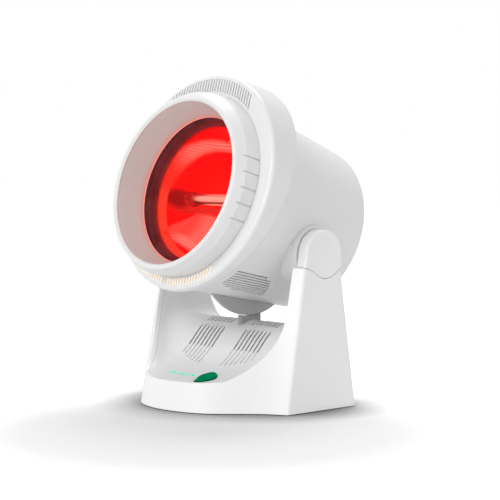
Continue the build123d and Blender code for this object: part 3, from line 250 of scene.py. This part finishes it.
# ---------------------------------------------------------------- stand shell and pivot caps
# Injection-moulded in white plastic with a satin gloss: a fine pebble from the tool, faint flow
# clouds and softly rounded edges. The caps are pressed onto the towers along the seam.
WHITE = (0.93, 0.93, 0.93, 1.0)
WHITE_SHADE = (0.905, 0.907, 0.912, 1.0)
EDGE_ROUND = 0.0006
PEBBLE_GRAINS = 1400.0
PEBBLE_SHARE = 0.4
PEBBLE_DEPTH = 0.0006
RIPPLE_LUMPS = 60.0
FLOW_CLOUDS = 9.0
CLOUD_EDGE = (0.35, 0.65)
GLOSS_PATCHES = 35.0
GLOSS_SPREAD = 0.1
PLASTIC_IOR = 1.49
COAT_ROUGHNESS = 0.18


def moulded_relief(finish, pebble):
    """Fine pebble and rounded edges, as a normal."""
    round_edge = finish.node("Bevel", {"samples": 4}, {"Radius": EDGE_ROUND})
    height = finish.noise(PEBBLE_GRAINS) * PEBBLE_SHARE + finish.noise(RIPPLE_LUMPS, 1.0)
    return finish.node("Bump", None, {"Strength": pebble, "Distance": PEBBLE_DEPTH, "Height": height,
                                      "Normal": round_edge})


def moulded(name, colour, shade, roughness, pebble=0.04, glow=None, painted_light_and_shade=None, coat=0.12):
    """Injection-moulded piece; `glow` gives a light in or on it, the argument after it a mask and the colour
    of light or shade painted there.
    """
    finish = Finish(name)
    tone = finish.blend(finish.noise(FLOW_CLOUDS, 3.0).rise(*CLOUD_EDGE), colour, shade)
    # Painted light or shade, blended into the base colour.
    if painted_light_and_shade:
        mask, painted_colour = painted_light_and_shade(finish)
        tone = finish.blend(mask, tone, painted_colour)
    patches = finish.noise(GLOSS_PATCHES, 3.0) * GLOSS_SPREAD
    inputs = {
        "Base Color": tone, "Roughness": roughness - GLOSS_SPREAD / 2 + patches,
        "Normal": moulded_relief(finish, pebble), "IOR": PLASTIC_IOR, "Coat Weight": coat,
        "Coat Roughness": COAT_ROUGHNESS, "Specular IOR Level": 0.5 if coat else 0.0}
    if glow:
        inputs["Emission Color"] = glow(finish)
        inputs["Emission Strength"] = 1.0
    return finish.surface(finish.node("BsdfPrincipled", None, inputs))


def wear_finish(names, material):
    """Give CAD nodes a finish on their own slots."""
    for name in names:
        nodes[name].data.materials.clear()
        nodes[name].data.materials.append(material)


white_plastic = moulded("white_satin_plastic", WHITE, WHITE_SHADE, roughness=0.34)
wear_finish(["base_shell", "pivot_cap_right", "pivot_cap_left"], white_plastic)


# ---------------------------------------------------------------- deck panel and guide post
# The dished panel between the towers is the same plastic, a little more matt; the post under the
# head is white plastic painted grey for the shade it stands in. In the panel's thin skin three
# arches of light shine in mint green.
DECK_WHITE = (0.84, 0.84, 0.844, 1.0)
DECK_SHADE = (0.815, 0.817, 0.824, 1.0)
POST_PAINTED_SHADE = (0.4, 0.4, 0.4, 1.0)
POST_MOTTLED_PAINTED_SHADE = (0.38, 0.382, 0.387, 1.0)
NO_LIGHT = (0.0, 0.0, 0.0, 1.0)
MINT = (0.0, 0.5, 0.28, 1.0)
MINT_LIGHT = (0.0, 0.62, 0.34, 1.0)
arch_low, arch_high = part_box("indicator_windows")
ARCH_W = 0.0086
ARCH_H = arch_high[1] - arch_low[1]
ARCH_R = (ARCH_W ** 2 / 4 + ARCH_H ** 2) / (2 * ARCH_H)
ARCH_CENTRE_Y = arch_high[1] - ARCH_R
ARCH_MIDDLES = (arch_low[0] + ARCH_W / 2, (arch_low[0] + arch_high[0]) / 2 - 0.0001,
                arch_high[0] - ARCH_W / 2)
ARCH_LINE = 0.0014
ARCH_INSET = 0.0006
ARCH_FEET = (-0.0008, -0.0002)
LINE_EDGE, LINE_LIGHT = (0.7, 1.2), 0.7
HALO_EDGE, HALO_LIGHT = (1.0, 2.4), 0.16


def arch_share(finish, inner, outer):
    """1 on the arches' outline, falling to 0 from `inner` to `outer` line widths beside it."""
    x, y = finish.axes()[:2]
    nearest = None
    for middle in ARCH_MIDDLES:
        radius = ((x - middle) ** 2.0 + (y - ARCH_CENTRE_Y) ** 2.0) ** 0.5
        away = abs(radius - (ARCH_R - ARCH_INSET))
        nearest = away if nearest is None else nearest.least(away)
    above_feet = (y - arch_low[1]).rise(*ARCH_FEET)
    return (1.0 - nearest.rise(ARCH_LINE * inner, ARCH_LINE * outer)) * above_feet


def arch_line(finish):
    """The lit line of the arches."""
    return arch_share(finish, *LINE_EDGE), MINT


def arch_light(finish):
    """Light of that line, and a faint halo round it."""
    line = arch_share(finish, *LINE_EDGE) * LINE_LIGHT
    halo = arch_share(finish, *HALO_EDGE) * HALO_LIGHT
    return finish.blend(line.most(halo), NO_LIGHT, MINT_LIGHT)


deck_plastic = moulded("deck_satin_plastic", DECK_WHITE, DECK_SHADE, roughness=0.42,
                       glow=arch_light, painted_light_and_shade=arch_line)
wear_finish(["deck_panel", "indicator_windows"], deck_plastic)
# The post's grey is painted shade from the head above it.
wear_finish(["guide_post"], moulded("post_plastic_painted_shade", POST_PAINTED_SHADE, POST_MOTTLED_PAINTED_SHADE, roughness=0.42))


# ---------------------------------------------------------------- floor plate, feet, screws and inlet bush
# The floor plate is matt white and held by five cross-head screws; four rubber discs are glued
# into its recesses. The cord's inlet is a nylon bush with a flange on each side of the rear wall.
SCREW_PLACES = ((-0.084, -0.01928), (0.084, -0.01928), (-0.06, 0.03772), (0.06, 0.03772), (0.0, -0.07728))
CROSS_ARM = 0.0019
CROSS_HALF = 0.00042
CROSS_TOP = (0.0022, 0.0018)
CROSS_DEPTH = 4.0
RECESS_PAINTED_SHADE = (0.03, 0.03, 0.032, 1.0)
STEEL_GREY = (0.6, 0.61, 0.62, 1.0)
SPANGLES = 700.0
SPANGLE_SHADE = 0.82
SPANGLE_SHARE = 0.6
SPANGLE_GLOSS = 0.12
DRAWN_MARKS = 900.0

floor_plastic = moulded("floor_matt_plastic", (0.78, 0.78, 0.77, 1.0), (0.74, 0.74, 0.735, 1.0),
                        roughness=0.6, pebble=0.12)
wear_finish(["bottom_plate"], floor_plastic)
rubber = moulded("foot_rubber_grey", (0.03, 0.03, 0.03, 1.0), (0.045, 0.045, 0.045, 1.0),
                 roughness=0.75, pebble=0.3)
wear_finish(["rubber_feet"], rubber)
nylon = moulded("bush_nylon_black", (0.02, 0.02, 0.022, 1.0), (0.03, 0.03, 0.032, 1.0),
                roughness=0.45, pebble=0.1)
wear_finish(["cord_gland"], nylon)


def steel(name, colour, roughness, recess=None):
    """Zinc-plated steel: crystalline patches, fine drawing marks and, on screws, a cross recess sunk by a
    bump and painted dark as shade.
    """
    finish = Finish(name)
    patches = finish.node("TexVoronoi", None, {"Vector": finish.place(), "Scale": SPANGLES}, output="Color")
    spangle = finish.node("SeparateXYZ", None, {0: patches}, output="X")
    dark = tuple(SPANGLE_SHADE * c for c in colour[:3]) + (1.0,)
    tone = finish.blend(spangle * SPANGLE_SHARE, colour, dark)
    height = finish.noise(DRAWN_MARKS, 2.0, stretch=(1.0, 1.0, 0.06))
    if recess:
        sunk = recess(finish)
        # The recess is painted dark as its shade.
        tone = finish.blend(sunk, tone, RECESS_PAINTED_SHADE)
        height = height - sunk * CROSS_DEPTH
    relief = finish.node("Bump", None, {"Strength": 0.08, "Distance": 0.0003, "Height": height})
    return finish.surface(finish.node("BsdfPrincipled", None, {
        "Base Color": tone, "Metallic": 1.0, "Roughness": roughness + spangle * SPANGLE_GLOSS,
        "Normal": relief}))


def cross_recess(finish):
    """Mask of the screwdriver crosses in the screw heads under the floor plate."""
    x, y, z = finish.axes()
    mask = None
    for screw_x, screw_y in SCREW_PLACES:
        across, along = abs(x - screw_x), abs(y - screw_y)
        narrow = across.least(along).rise(CROSS_HALF, CROSS_HALF * 0.6)
        arm = narrow * across.most(along).rise(CROSS_ARM, CROSS_ARM * 0.8)
        mask = arm if mask is None else mask.most(arm)
    return mask * z.rise(*CROSS_TOP)


wear_finish(["base_screws"], steel("screw_steel", STEEL_GREY, roughness=0.34, recess=cross_recess))


# ---------------------------------------------------------------- circuit board
# Green glass-fibre board under the deck, with relay, fuse, capacitor and terminal, a push switch
# below the button and three lights below the windows.
WEAVE = 2 * pi / 0.0007
MASK_GREEN = (0.02, 0.15, 0.07, 1.0)
MASK_THREAD = (0.03, 0.2, 0.09, 1.0)
LED_LIGHT = (0.15, 0.9, 0.55, 1.0)
LED_DOME = (0.0125, 0.0135)

board = Finish("board_laminate")
weave_x, weave_y = board.axes()[:2]
threads = (weave_x * WEAVE).sine() * (weave_y * WEAVE).sine()
mask_colour = board.blend(threads * 0.5 + 0.5, MASK_GREEN, MASK_THREAD)
laminate_relief = board.node("Bump", None, {"Strength": 0.15, "Distance": 0.0002, "Height": threads})
wear_finish(["control_board"], board.surface(board.node("BsdfPrincipled", None, {
    "Base Color": mask_colour, "Roughness": 0.35 + board.noise(60.0) * 0.1, "Normal": laminate_relief})))
part_plastic = moulded("part_plastic_black", (0.025, 0.025, 0.027, 1.0), (0.04, 0.04, 0.043, 1.0),
                       roughness=0.4, pebble=0.1)
wear_finish(["board_parts", "tact_switch", "switch_plunger"], part_plastic)


def led_dome_light(finish):
    """Green light in the domes of the lights."""
    return finish.blend(finish.axes()[2].rise(*LED_DOME), NO_LIGHT, LED_LIGHT)


clear_resin = moulded("led_resin", (0.7, 0.85, 0.78, 1.0), (0.62, 0.8, 0.72, 1.0),
                      roughness=0.15, pebble=0.02, glow=led_dome_light)
wear_finish(["indicator_leds"], clear_resin)


# ---------------------------------------------------------------- push button
# One satin green moulding that stands a little proud of the deck; its walls, where it goes down
# into the deck's opening, are painted darker green as shade.
BUTTON_GREEN = (0.0, 0.29, 0.108, 1.0)
BUTTON_SHADE = (0.0, 0.26, 0.096, 1.0)
BUTTON_WALL_SHADE = (0.0, 0.075, 0.028, 1.0)
WALL_SHADE_TURN = (0.45, 0.85)


def button_wall_shade(finish):
    """Painted shade: darker green on the walls of the button."""
    facing = finish.node("NewGeometry", output="Normal")
    wall = 1.0 - finish.node("SeparateXYZ", None, {0: facing}, output="Z")
    return wall.rise(*WALL_SHADE_TURN), BUTTON_WALL_SHADE


wear_finish(["power_button"], moulded("button_green_satin", BUTTON_GREEN, BUTTON_SHADE, roughness=0.4,
                                      pebble=0.03, painted_light_and_shade=button_wall_shade, coat=0.0))


# ---------------------------------------------------------------- bearings and brake
# Pressed zinc-plated plates are screwed inside the towers, and the head's steel trunnions turn in
# them. Fibre washers rub between drum and caps, and small plates stop the turn at its ends.
zinc = steel("zinc_plate", (0.66, 0.67, 0.68, 1.0), roughness=0.32)
wear_finish(["bearing_plate_right", "bearing_plate_left", "bearing_screws", "trunnion_screws", "stop_plates",
             "trunnion_pin_right", "trunnion_pin_left"], zinc)
fibre = moulded("washer_fibre_brown", (0.13, 0.1, 0.08, 1.0), (0.17, 0.13, 0.1, 1.0),
                roughness=0.8, pebble=0.4)
wear_finish(["friction_washers"], fibre)


# ---------------------------------------------------------------- drum and tilt sector
# The head's round rear housing, moulded in white, with cooling slots in its belly and back and
# four screws at its mouth; the sector below it, painted grey as shade, runs over the post and
# guides the tilt.
DRUM_WHITE = (0.83, 0.83, 0.833, 1.0)
DRUM_SHADE = (0.805, 0.807, 0.814, 1.0)
SECTOR_PAINTED_SHADE = (0.49, 0.49, 0.49, 1.0)
SECTOR_MOTTLED_PAINTED_SHADE = (0.465, 0.467, 0.473, 1.0)

wear_finish(["rear_housing"], moulded("drum_satin_plastic", DRUM_WHITE, DRUM_SHADE, roughness=0.36))
# The sector's grey is painted shade under the drum.
wear_finish(["tilt_sector"], moulded("sector_plastic_painted_shade", SECTOR_PAINTED_SHADE, SECTOR_MOTTLED_PAINTED_SHADE, roughness=0.42))
wear_finish(["housing_screws"], steel("housing_screw_steel", STEEL_GREY, roughness=0.34))


# ---------------------------------------------------------------- vented flange
# A broad collar with a comb of slots above and below, screwed to the drum's mouth. Warm light
# from the tube is painted as a glow in the slots of the lower comb, and a little daylight as a
# faint glow in the upper one.
HEAD_TILT = radians(16.1)
AXIS_Y = 0.010716
AXIS_Z = 0.1299
FLANGE_WHITE = (0.815, 0.815, 0.815, 1.0)
FLANGE_SHADE = (0.79, 0.792, 0.798, 1.0)
COMB_FLOOR, COMB_MOUTH = 76.6, 79.3
COMB_R = 91.3
FLANGE_N = 39.7
LOWER_COMB = (0.0, -4.0)
UPPER_COMB = (60.0, 64.0)
LEAK_LIGHT = (0.5, 0.37, 0.23, 1.0)
SKY_LIGHT = (0.1, 0.1, 0.1, 1.0)


def head_axes(finish):
    """Position on the head in millimetres: to the right, forward and up, from the tilt axis."""
    x, y, z = finish.axes()
    back, up = y * 1000.0 - AXIS_Y * 1000.0, z * 1000.0 - AXIS_Z * 1000.0
    return (x * 1000.0, up * sin(HEAD_TILT) - back * cos(HEAD_TILT),
            back * sin(HEAD_TILT) + up * cos(HEAD_TILT))


def comb_painted_glow(finish):
    """Painted glow: warm light in the slots of the lower comb, a little daylight in those of the upper one.
    """
    x, forward, up = head_axes(finish)
    radius = (x ** 2.0 + (up - FLANGE_N) ** 2.0) ** 0.5
    deep = forward.between(COMB_FLOOR, COMB_MOUTH, 0.1) * radius.rise(COMB_R, COMB_R - 0.3)
    warm = finish.blend(deep * up.rise(*LOWER_COMB), NO_LIGHT, LEAK_LIGHT)
    return finish.blend(deep * up.rise(*UPPER_COMB), warm, SKY_LIGHT)


wear_finish(["vent_flange"], moulded("flange_satin_plastic", FLANGE_WHITE, FLANGE_SHADE, roughness=0.36,
                                     glow=comb_painted_glow))


# ---------------------------------------------------------------- front ring
# The smooth grip ring at the mouth, moulded in the same white with short grooves for the
# fingers, seated against the flange.
RING_WHITE = (0.81, 0.81, 0.81, 1.0)
RING_SHADE = (0.785, 0.787, 0.792, 1.0)

wear_finish(["front_ring"], moulded("ring_satin_plastic", RING_WHITE, RING_SHADE, roughness=0.34))


# ---------------------------------------------------------------- shade cone
# Satin heat-resistant plastic between ring and glass. Red light from the glass falls on it, and
# more is painted on near the glass; the edge that touches the glass is painted as lit through.
CONE_GREY = (0.64, 0.655, 0.63, 1.0)
CONE_SHADE = (0.61, 0.625, 0.6, 1.0)
CONE_PAINTED_RED_LIGHT = (0.8, 0.33, 0.27, 1.0)
RED_LIGHT_REACH = (8.0, -1.0)
RED_LIGHT_FALL = 1.7
RED_LIGHT_SHARE = 0.8
CONE_EDGE_LIGHT = (0.5, 0.07, 0.05, 1.0)
EDGE_REACH = (1.6, 0.4)
GLASS_FACE = 75.9


def from_glass(finish):
    """Millimetres in front of the glass."""
    return head_axes(finish)[1] - GLASS_FACE


def cone_painted_red_light(finish):
    """Painted red light on the cone, strongest at the glass."""
    return from_glass(finish).rise(*RED_LIGHT_REACH) ** RED_LIGHT_FALL * RED_LIGHT_SHARE, CONE_PAINTED_RED_LIGHT


def cone_edge_light(finish):
    """Painted glow on the edge that touches the glass."""
    return finish.blend(from_glass(finish).rise(*EDGE_REACH), NO_LIGHT, CONE_EDGE_LIGHT)


wear_finish(["shade_cone"], moulded("cone_satin_grey", CONE_GREY, CONE_SHADE, roughness=0.5,
                                    glow=cone_edge_light, painted_light_and_shade=cone_painted_red_light))


# ---------------------------------------------------------------- filter glass, carrier and seal
# A plate of glass-ceramic, red in the mass, lies in the step of a painted carrier, with a flat
# silicone seal between it and the cone. Red light is painted on the carrier's inner lip, and a faint
# uneven glow on its paint is a painted reflection of the glass in front.
GLASS_TINT = (1.0, 0.5, 0.45, 1.0)
GLASS_IOR = 1.07
SMUDGE_PATCHES = 25.0
SMUDGE = 0.4
CARRIER_MAROON = (0.06, 0.03, 0.035, 1.0)
CARRIER_SHADE = (0.075, 0.036, 0.04, 1.0)
CARRIER_PAINTED_REFLECTION = (0.075, 0.06, 0.085, 1.0)
LIP_PAINTED_RED_LIGHT = (0.4, 0.1, 0.1, 1.0)
LIP_REACH = (66.8, 64.6)

glass = Finish("ruby_glass_ceramic")
clear = glass.node("BsdfTransparent", None, {"Color": GLASS_TINT})
sheen = glass.node("BsdfGlossy", None, {"Color": WHITE_LIGHT, "Roughness": 0.06})
smudge = 1.0 - SMUDGE / 2 + glass.noise(SMUDGE_PATCHES, 3.0) * SMUDGE
mirror_share = glass.node("Fresnel", None, {"IOR": GLASS_IOR}) * smudge
wear_finish(["filter_glass"], glass.surface(glass.node("MixShader", None, {
    0: mirror_share, 1: clear, 2: sheen})))


def carrier_lip_painted_light(finish):
    """Painted red light on the carrier's inner lip."""
    return head_axes(finish)[1].rise(*LIP_REACH), LIP_PAINTED_RED_LIGHT


def carrier_painted_reflection(finish):
    """Painted reflection: faint uneven light on the carrier's paint, from the glass in front."""
    return finish.blend(finish.noise(60.0).rise(0.1, 0.6), NO_LIGHT, CARRIER_PAINTED_REFLECTION)


carrier = moulded("carrier_paint_maroon", CARRIER_MAROON, CARRIER_SHADE, roughness=0.5,
                  glow=carrier_painted_reflection, painted_light_and_shade=carrier_lip_painted_light)
wear_finish(["glass_carrier"], carrier)
seal = moulded("seal_silicone_red", (0.045, 0.004, 0.006, 1.0), (0.06, 0.006, 0.008, 1.0),
               roughness=0.55, pebble=0.15)
wear_finish(["glass_seal"], seal)


# ---------------------------------------------------------------- reflector
# A bowl spun from bright aluminium sheet with fine rows of dimples. Behind the red glass its light
# is painted on as a glow: painted reflections of the tube make a bright band above and a fan below
# it; painted shade makes a dark corner, a trough under the tube, the dimples and the rim's edge;
# the metal itself is painted dark red.
# Heights are measured from the bowl's axis, and all lengths are in millimetres.
BOWL_RIM = 57.5
BOWL_N = 33.4
DIMPLE_PITCH = 2.25
DIMPLE_SHARE = 0.2
WAVER_LUMPS = 140.0
WAVER = 3.0
ROW_SHARE = 0.7
# Emission colours of the painted light: red glow, painted reflections and painted shade.
RED_FIELD = (0.93, 0.008, 0.012, 1.0)
SALMON_FIELD = (0.95, 1.15, 1.1, 1.0)
DARK_FIELD = (0.2, 0.01, 0.02, 1.0)
EMBER_FIELD = (0.96, 0.19, 0.12, 1.0)
TROUGH_FIELD = (0.55, 0.06, 0.06, 1.0)
EDGE_FIELD = (0.12, 0.012, 0.02, 1.0)
BOWL_PAINTED_DARK_RED = (0.22, 0.05, 0.045, 1.0)
BOWL_MOTTLED_PAINTED_DARK_RED = (0.19, 0.045, 0.04, 1.0)
BAND_R, BAND_SLOPE = 45.0, 0.22
BAND_FADE = (5.0, 0.8)
BAND_FOOT = (0.0, 12.0)
BAND_TURN = (34.0, 54.0)
BAND_SHARE = 0.85
RIM_LIGHT = (54.6, 58.2, 0.7)
RIM_LIGHT_TOP = (14.0, 2.0)
RIM_DARK = (57.6, 59.4)
FAN_BASE, FAN_SLOPE = -50.2, 0.37
FAN_FOOT = (-5.5, -1.0)
FAN_TOP = -11.5
FAN_HEAD = (-2.0, 3.0)
FAN_SIDE = (46.5, 43.0)
FLANK_BASE, FLANK_SLOPE = -30.0, 1.6
FAN_BRIGHT = (-2.0, 2.0, 6.0)
FAN_BRIGHT_SIDE = (50.0, 28.0)
FAN_MIDDLE, FAN_MIDDLE_SHARE = (40.0, 24.0), 0.75
FAN_LEAST = 0.32
CORNER_SIDE, CORNER_N = 48.5, -1.8
CORNER_W, CORNER_H = 8.0, 8.5
CORNER_FADE = (1.3, 0.5)
TROUGH_N, TROUGH_SLOPE = -3.2, -0.16
TROUGH_FADE = (5.5, 1.0)
TROUGH_SIDE = (14.0, 46.0, 8.0)
TROUGH_SHARE = 0.8

bowl = Finish("lit_reflector")
across, forward, up = head_axes(bowl)
side = abs(across)
height = up - BOWL_N
radius = (across ** 2.0 + height ** 2.0) ** 0.5
waver = bowl.noise(WAVER_LUMPS) * WAVER - WAVER / 2

# Painted reflection of the tube: a bright band above it.
band_line = (side * BAND_SLOPE + BAND_R).least(BOWL_RIM)
band = abs(radius - band_line + waver * 0.3).rise(*BAND_FADE) * height.rise(*BAND_FOOT)
band_colour = bowl.blend(side.rise(*BAND_TURN), SALMON_FIELD, EMBER_FIELD)
# Painted light on the rim, and painted shade at its very edge.
rim_light = radius.between(*RIM_LIGHT) * height.rise(*RIM_LIGHT_TOP)
rim_edge = radius.rise(*RIM_DARK)

# Painted reflection of the tube: a fan of light below it.
over_fan_base = height - (side * FAN_SLOPE + FAN_BASE)
flank = (FAN_SIDE[0] - side) * FLANK_SLOPE + FLANK_BASE
under_fan_top = flank.least(FAN_TOP) + waver - height
fan = over_fan_base.rise(*FAN_FOOT) * under_fan_top.rise(*FAN_HEAD) * side.rise(*FAN_SIDE)
fan_depth = over_fan_base.between(*FAN_BRIGHT) * side.rise(*FAN_BRIGHT_SIDE)
fan_depth = fan_depth.most(side.rise(*FAN_MIDDLE) * FAN_MIDDLE_SHARE).most(FAN_LEAST + waver * 0.04)

# Painted shade: a dark corner by the tube's holder, and a trough under the tube.
corner_reach = (((side - CORNER_SIDE) / CORNER_W) ** 2.0 + ((height - CORNER_N) / CORNER_H) ** 2.0) ** 0.5
corner = (corner_reach + waver * 0.08).rise(*CORNER_FADE)
from_trough = abs(height - TROUGH_N - side * TROUGH_SLOPE + waver * 0.5)
trough = from_trough.rise(*TROUGH_FADE) * side.between(*TROUGH_SIDE)

# Rows of dimples: painted streaks in the band and fan, and painted shade in each dimple.
rows = (up * (2 * pi / DIMPLE_PITCH)).sine()
dimples = (across * (2 * pi / DIMPLE_PITCH)).sine() * rows
light = bowl.blend(trough * TROUGH_SHARE, RED_FIELD, TROUGH_FIELD)
light = bowl.blend(fan * fan_depth.least(1.0), light, SALMON_FIELD)
light = bowl.blend(corner, light, DARK_FIELD)
light = bowl.blend(rim_light, light, EMBER_FIELD)
light = bowl.blend(band * BAND_SHARE, light, band_colour)
light = bowl.blend((rows * 0.5 + 0.5) * ROW_SHARE * fan.most(band), light, RED_FIELD)
light = bowl.blend((dimples * 0.5 + 0.5) * DIMPLE_SHARE, light, EDGE_FIELD)
light = bowl.blend(rim_edge, light, EDGE_FIELD)
# The metal is painted dark red, for the shade and red light in the bowl.
metal_painted_dark_red = bowl.blend(bowl.noise(30.0), BOWL_PAINTED_DARK_RED, BOWL_MOTTLED_PAINTED_DARK_RED)
dimple_relief = bowl.node("Bump", None, {"Strength": 0.5, "Distance": 0.0003, "Height": dimples})
wear_finish(["reflector"], bowl.surface(bowl.node("BsdfPrincipled", None, {
    "Base Color": metal_painted_dark_red, "Metallic": 1.0, "Roughness": 0.35 + bowl.noise(50.0) * 0.1,
    "Normal": dimple_relief, "Emission Color": light, "Emission Strength": 1.0})))


# ---------------------------------------------------------------- heat shield, cut-out and lamp holders
# An aluminised steel shield stands behind the bowl with the ceramic thermal cut-out on it, and a
# nylon terminal block behind that. The tube's ceramic holders and end caps are painted dark as
# shade, with a painted red glow, faint on the holders and stronger on the caps.
CERAMIC_PAINTED_SHADE = (0.1, 0.08, 0.07, 1.0)
CERAMIC_MOTTLED_PAINTED_SHADE = (0.07, 0.055, 0.05, 1.0)
HOLDER_LIGHT = (0.2, 0.01, 0.02, 1.0)
END_CAP_LIGHT = (0.5, 0.03, 0.04, 1.0)


def painted_red_glow(colour):
    """Painted glow: uneven red light on the ceramic."""
    return lambda finish: finish.blend(finish.noise(80.0).rise(0.2, 0.5), NO_LIGHT, colour)


wear_finish(["heat_shield", "carrier_screws"], steel("shield_steel", (0.62, 0.62, 0.63, 1.0), roughness=0.38))
ceramic = moulded("unglazed_ceramic", (0.75, 0.72, 0.68, 1.0), (0.7, 0.67, 0.62, 1.0),
                  roughness=0.7, pebble=0.2)
wear_finish(["thermal_cutout"], ceramic)
# Holders: ceramic painted dark as shade, with a faint painted red glow.
shaded_holder_ceramic = moulded("holder_ceramic_painted_shade", CERAMIC_PAINTED_SHADE, CERAMIC_MOTTLED_PAINTED_SHADE, roughness=0.7, pebble=0.2,
                glow=painted_red_glow(HOLDER_LIGHT))
wear_finish(["lamp_holders"], shaded_holder_ceramic)
# End caps: the same painted shade, with a stronger painted red glow.
cap_ceramic_painted_glow = moulded("cap_ceramic_painted_glow", CERAMIC_PAINTED_SHADE, CERAMIC_MOTTLED_PAINTED_SHADE, roughness=0.7, pebble=0.2,
                      glow=painted_red_glow(END_CAP_LIGHT))
wear_finish(["tube_end_caps"], cap_ceramic_painted_glow)
natural_nylon = moulded("terminal_nylon", (0.8, 0.79, 0.75, 1.0), (0.76, 0.75, 0.7, 1.0),
                        roughness=0.5, pebble=0.08)
wear_finish(["terminal_block"], natural_nylon)


# ---------------------------------------------------------------- halogen tube and filament
# A clear quartz tube between ceramic caps. The coiled tungsten wire along its axis glows white
# and floods the tube with light round it.
COIL_R = 0.0011
WIRE_R = 0.00018
COIL_PITCH = 0.001
COIL_HALF = 0.041
COIL_STEPS = 12
WIRE_SIDES = 6
TUNGSTEN_GREY = (0.3, 0.28, 0.26, 1.0)
WIRE_LIGHT = (1.0, 0.9, 0.78, 1.0)
WIRE_LIGHT_SHADE = (1.0, 0.82, 0.65, 1.0)
WIRE_STRENGTH = 2.0
TUBE_GLOW = (1.0, 0.78, 0.74, 1.0)
TUBE_STRENGTH = 1.9
FLOOD_ACROSS = (4.1, 0.3)
FLOOD_ALONG = (41.0, 21.0)
FLOOD_FALL = 1.4
FLICKER_LUMPS = 120.0
FLICKER = 0.15
QUARTZ_TINT = (0.97, 0.96, 0.95, 1.0)
QUARTZ_SHINE = (1.0, 0.95, 0.92, 1.0)
QUARTZ_IOR = 1.46

tube_low, tube_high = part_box("halogen_tube")
tube_y, tube_z = (tube_low[1] + tube_high[1]) / 2, (tube_low[2] + tube_high[2]) / 2
ALONG_TUBE = Vector((1.0, 0.0, 0.0))
coil_points, coil_faces = [], []
ring_count = int(2 * COIL_HALF / COIL_PITCH * COIL_STEPS)
for i in range(ring_count + 1):
    turn = 2 * pi * i / COIL_STEPS
    outward = Vector((0.0, cos(turn), sin(turn)))
    centre = Vector((-COIL_HALF + 2 * COIL_HALF * i / ring_count, tube_y, tube_z)) + COIL_R * outward
    for j in range(WIRE_SIDES):
        around = 2 * pi * j / WIRE_SIDES
        coil_points.append(centre + WIRE_R * (cos(around) * outward + sin(around) * ALONG_TUBE))
for i in range(ring_count):
    for j in range(WIRE_SIDES):
        k = (j + 1) % WIRE_SIDES
        first, second = i * WIRE_SIDES, (i + 1) * WIRE_SIDES
        coil_faces.append((first + j, first + k, second + k, second + j))
coil_faces.append(tuple(range(WIRE_SIDES)))
coil_faces.append(tuple(ring_count * WIRE_SIDES + j for j in reversed(range(WIRE_SIDES))))
coil = sheet_of_points("tungsten_coil", coil_points, coil_faces)
for face in coil.data.polygons:
    face.use_smooth = True
tungsten = Finish("glowing_tungsten")
hot = tungsten.blend(tungsten.noise(400.0), WIRE_LIGHT, WIRE_LIGHT_SHADE)
coil.data.materials.append(tungsten.surface(tungsten.node("BsdfPrincipled", None, {
    "Base Color": TUNGSTEN_GREY, "Metallic": 1.0, "Roughness": 0.5,
    "Emission Color": hot, "Emission Strength": WIRE_STRENGTH})))
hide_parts("filament")
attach(coil, "head")

tube = Finish("quartz_tube")
along, forward, up = head_axes(tube)
tube_n = (tube_y - AXIS_Y) * 1000.0 * sin(HEAD_TILT) + (tube_z - AXIS_Z) * 1000.0 * cos(HEAD_TILT)
flood = (abs(up - tube_n).rise(*FLOOD_ACROSS) * abs(along).rise(*FLOOD_ALONG)) ** FLOOD_FALL
quartz = tube.node("BsdfTransparent", None, {"Color": QUARTZ_TINT})
shine = tube.node("BsdfGlossy", None, {"Color": QUARTZ_SHINE, "Roughness": 0.08})
mirror = tube.node("Fresnel", None, {"IOR": QUARTZ_IOR})
quartz = tube.node("MixShader", None, {0: mirror, 1: quartz, 2: shine})
glow = tube.node("Emission", None, {"Color": TUBE_GLOW, "Strength": TUBE_STRENGTH})
wear_finish(["halogen_tube"], tube.surface(tube.node("MixShader", None, {
    0: flood * (1.0 - FLICKER + tube.noise(FLICKER_LUMPS) * FLICKER), 1: quartz, 2: glow})))
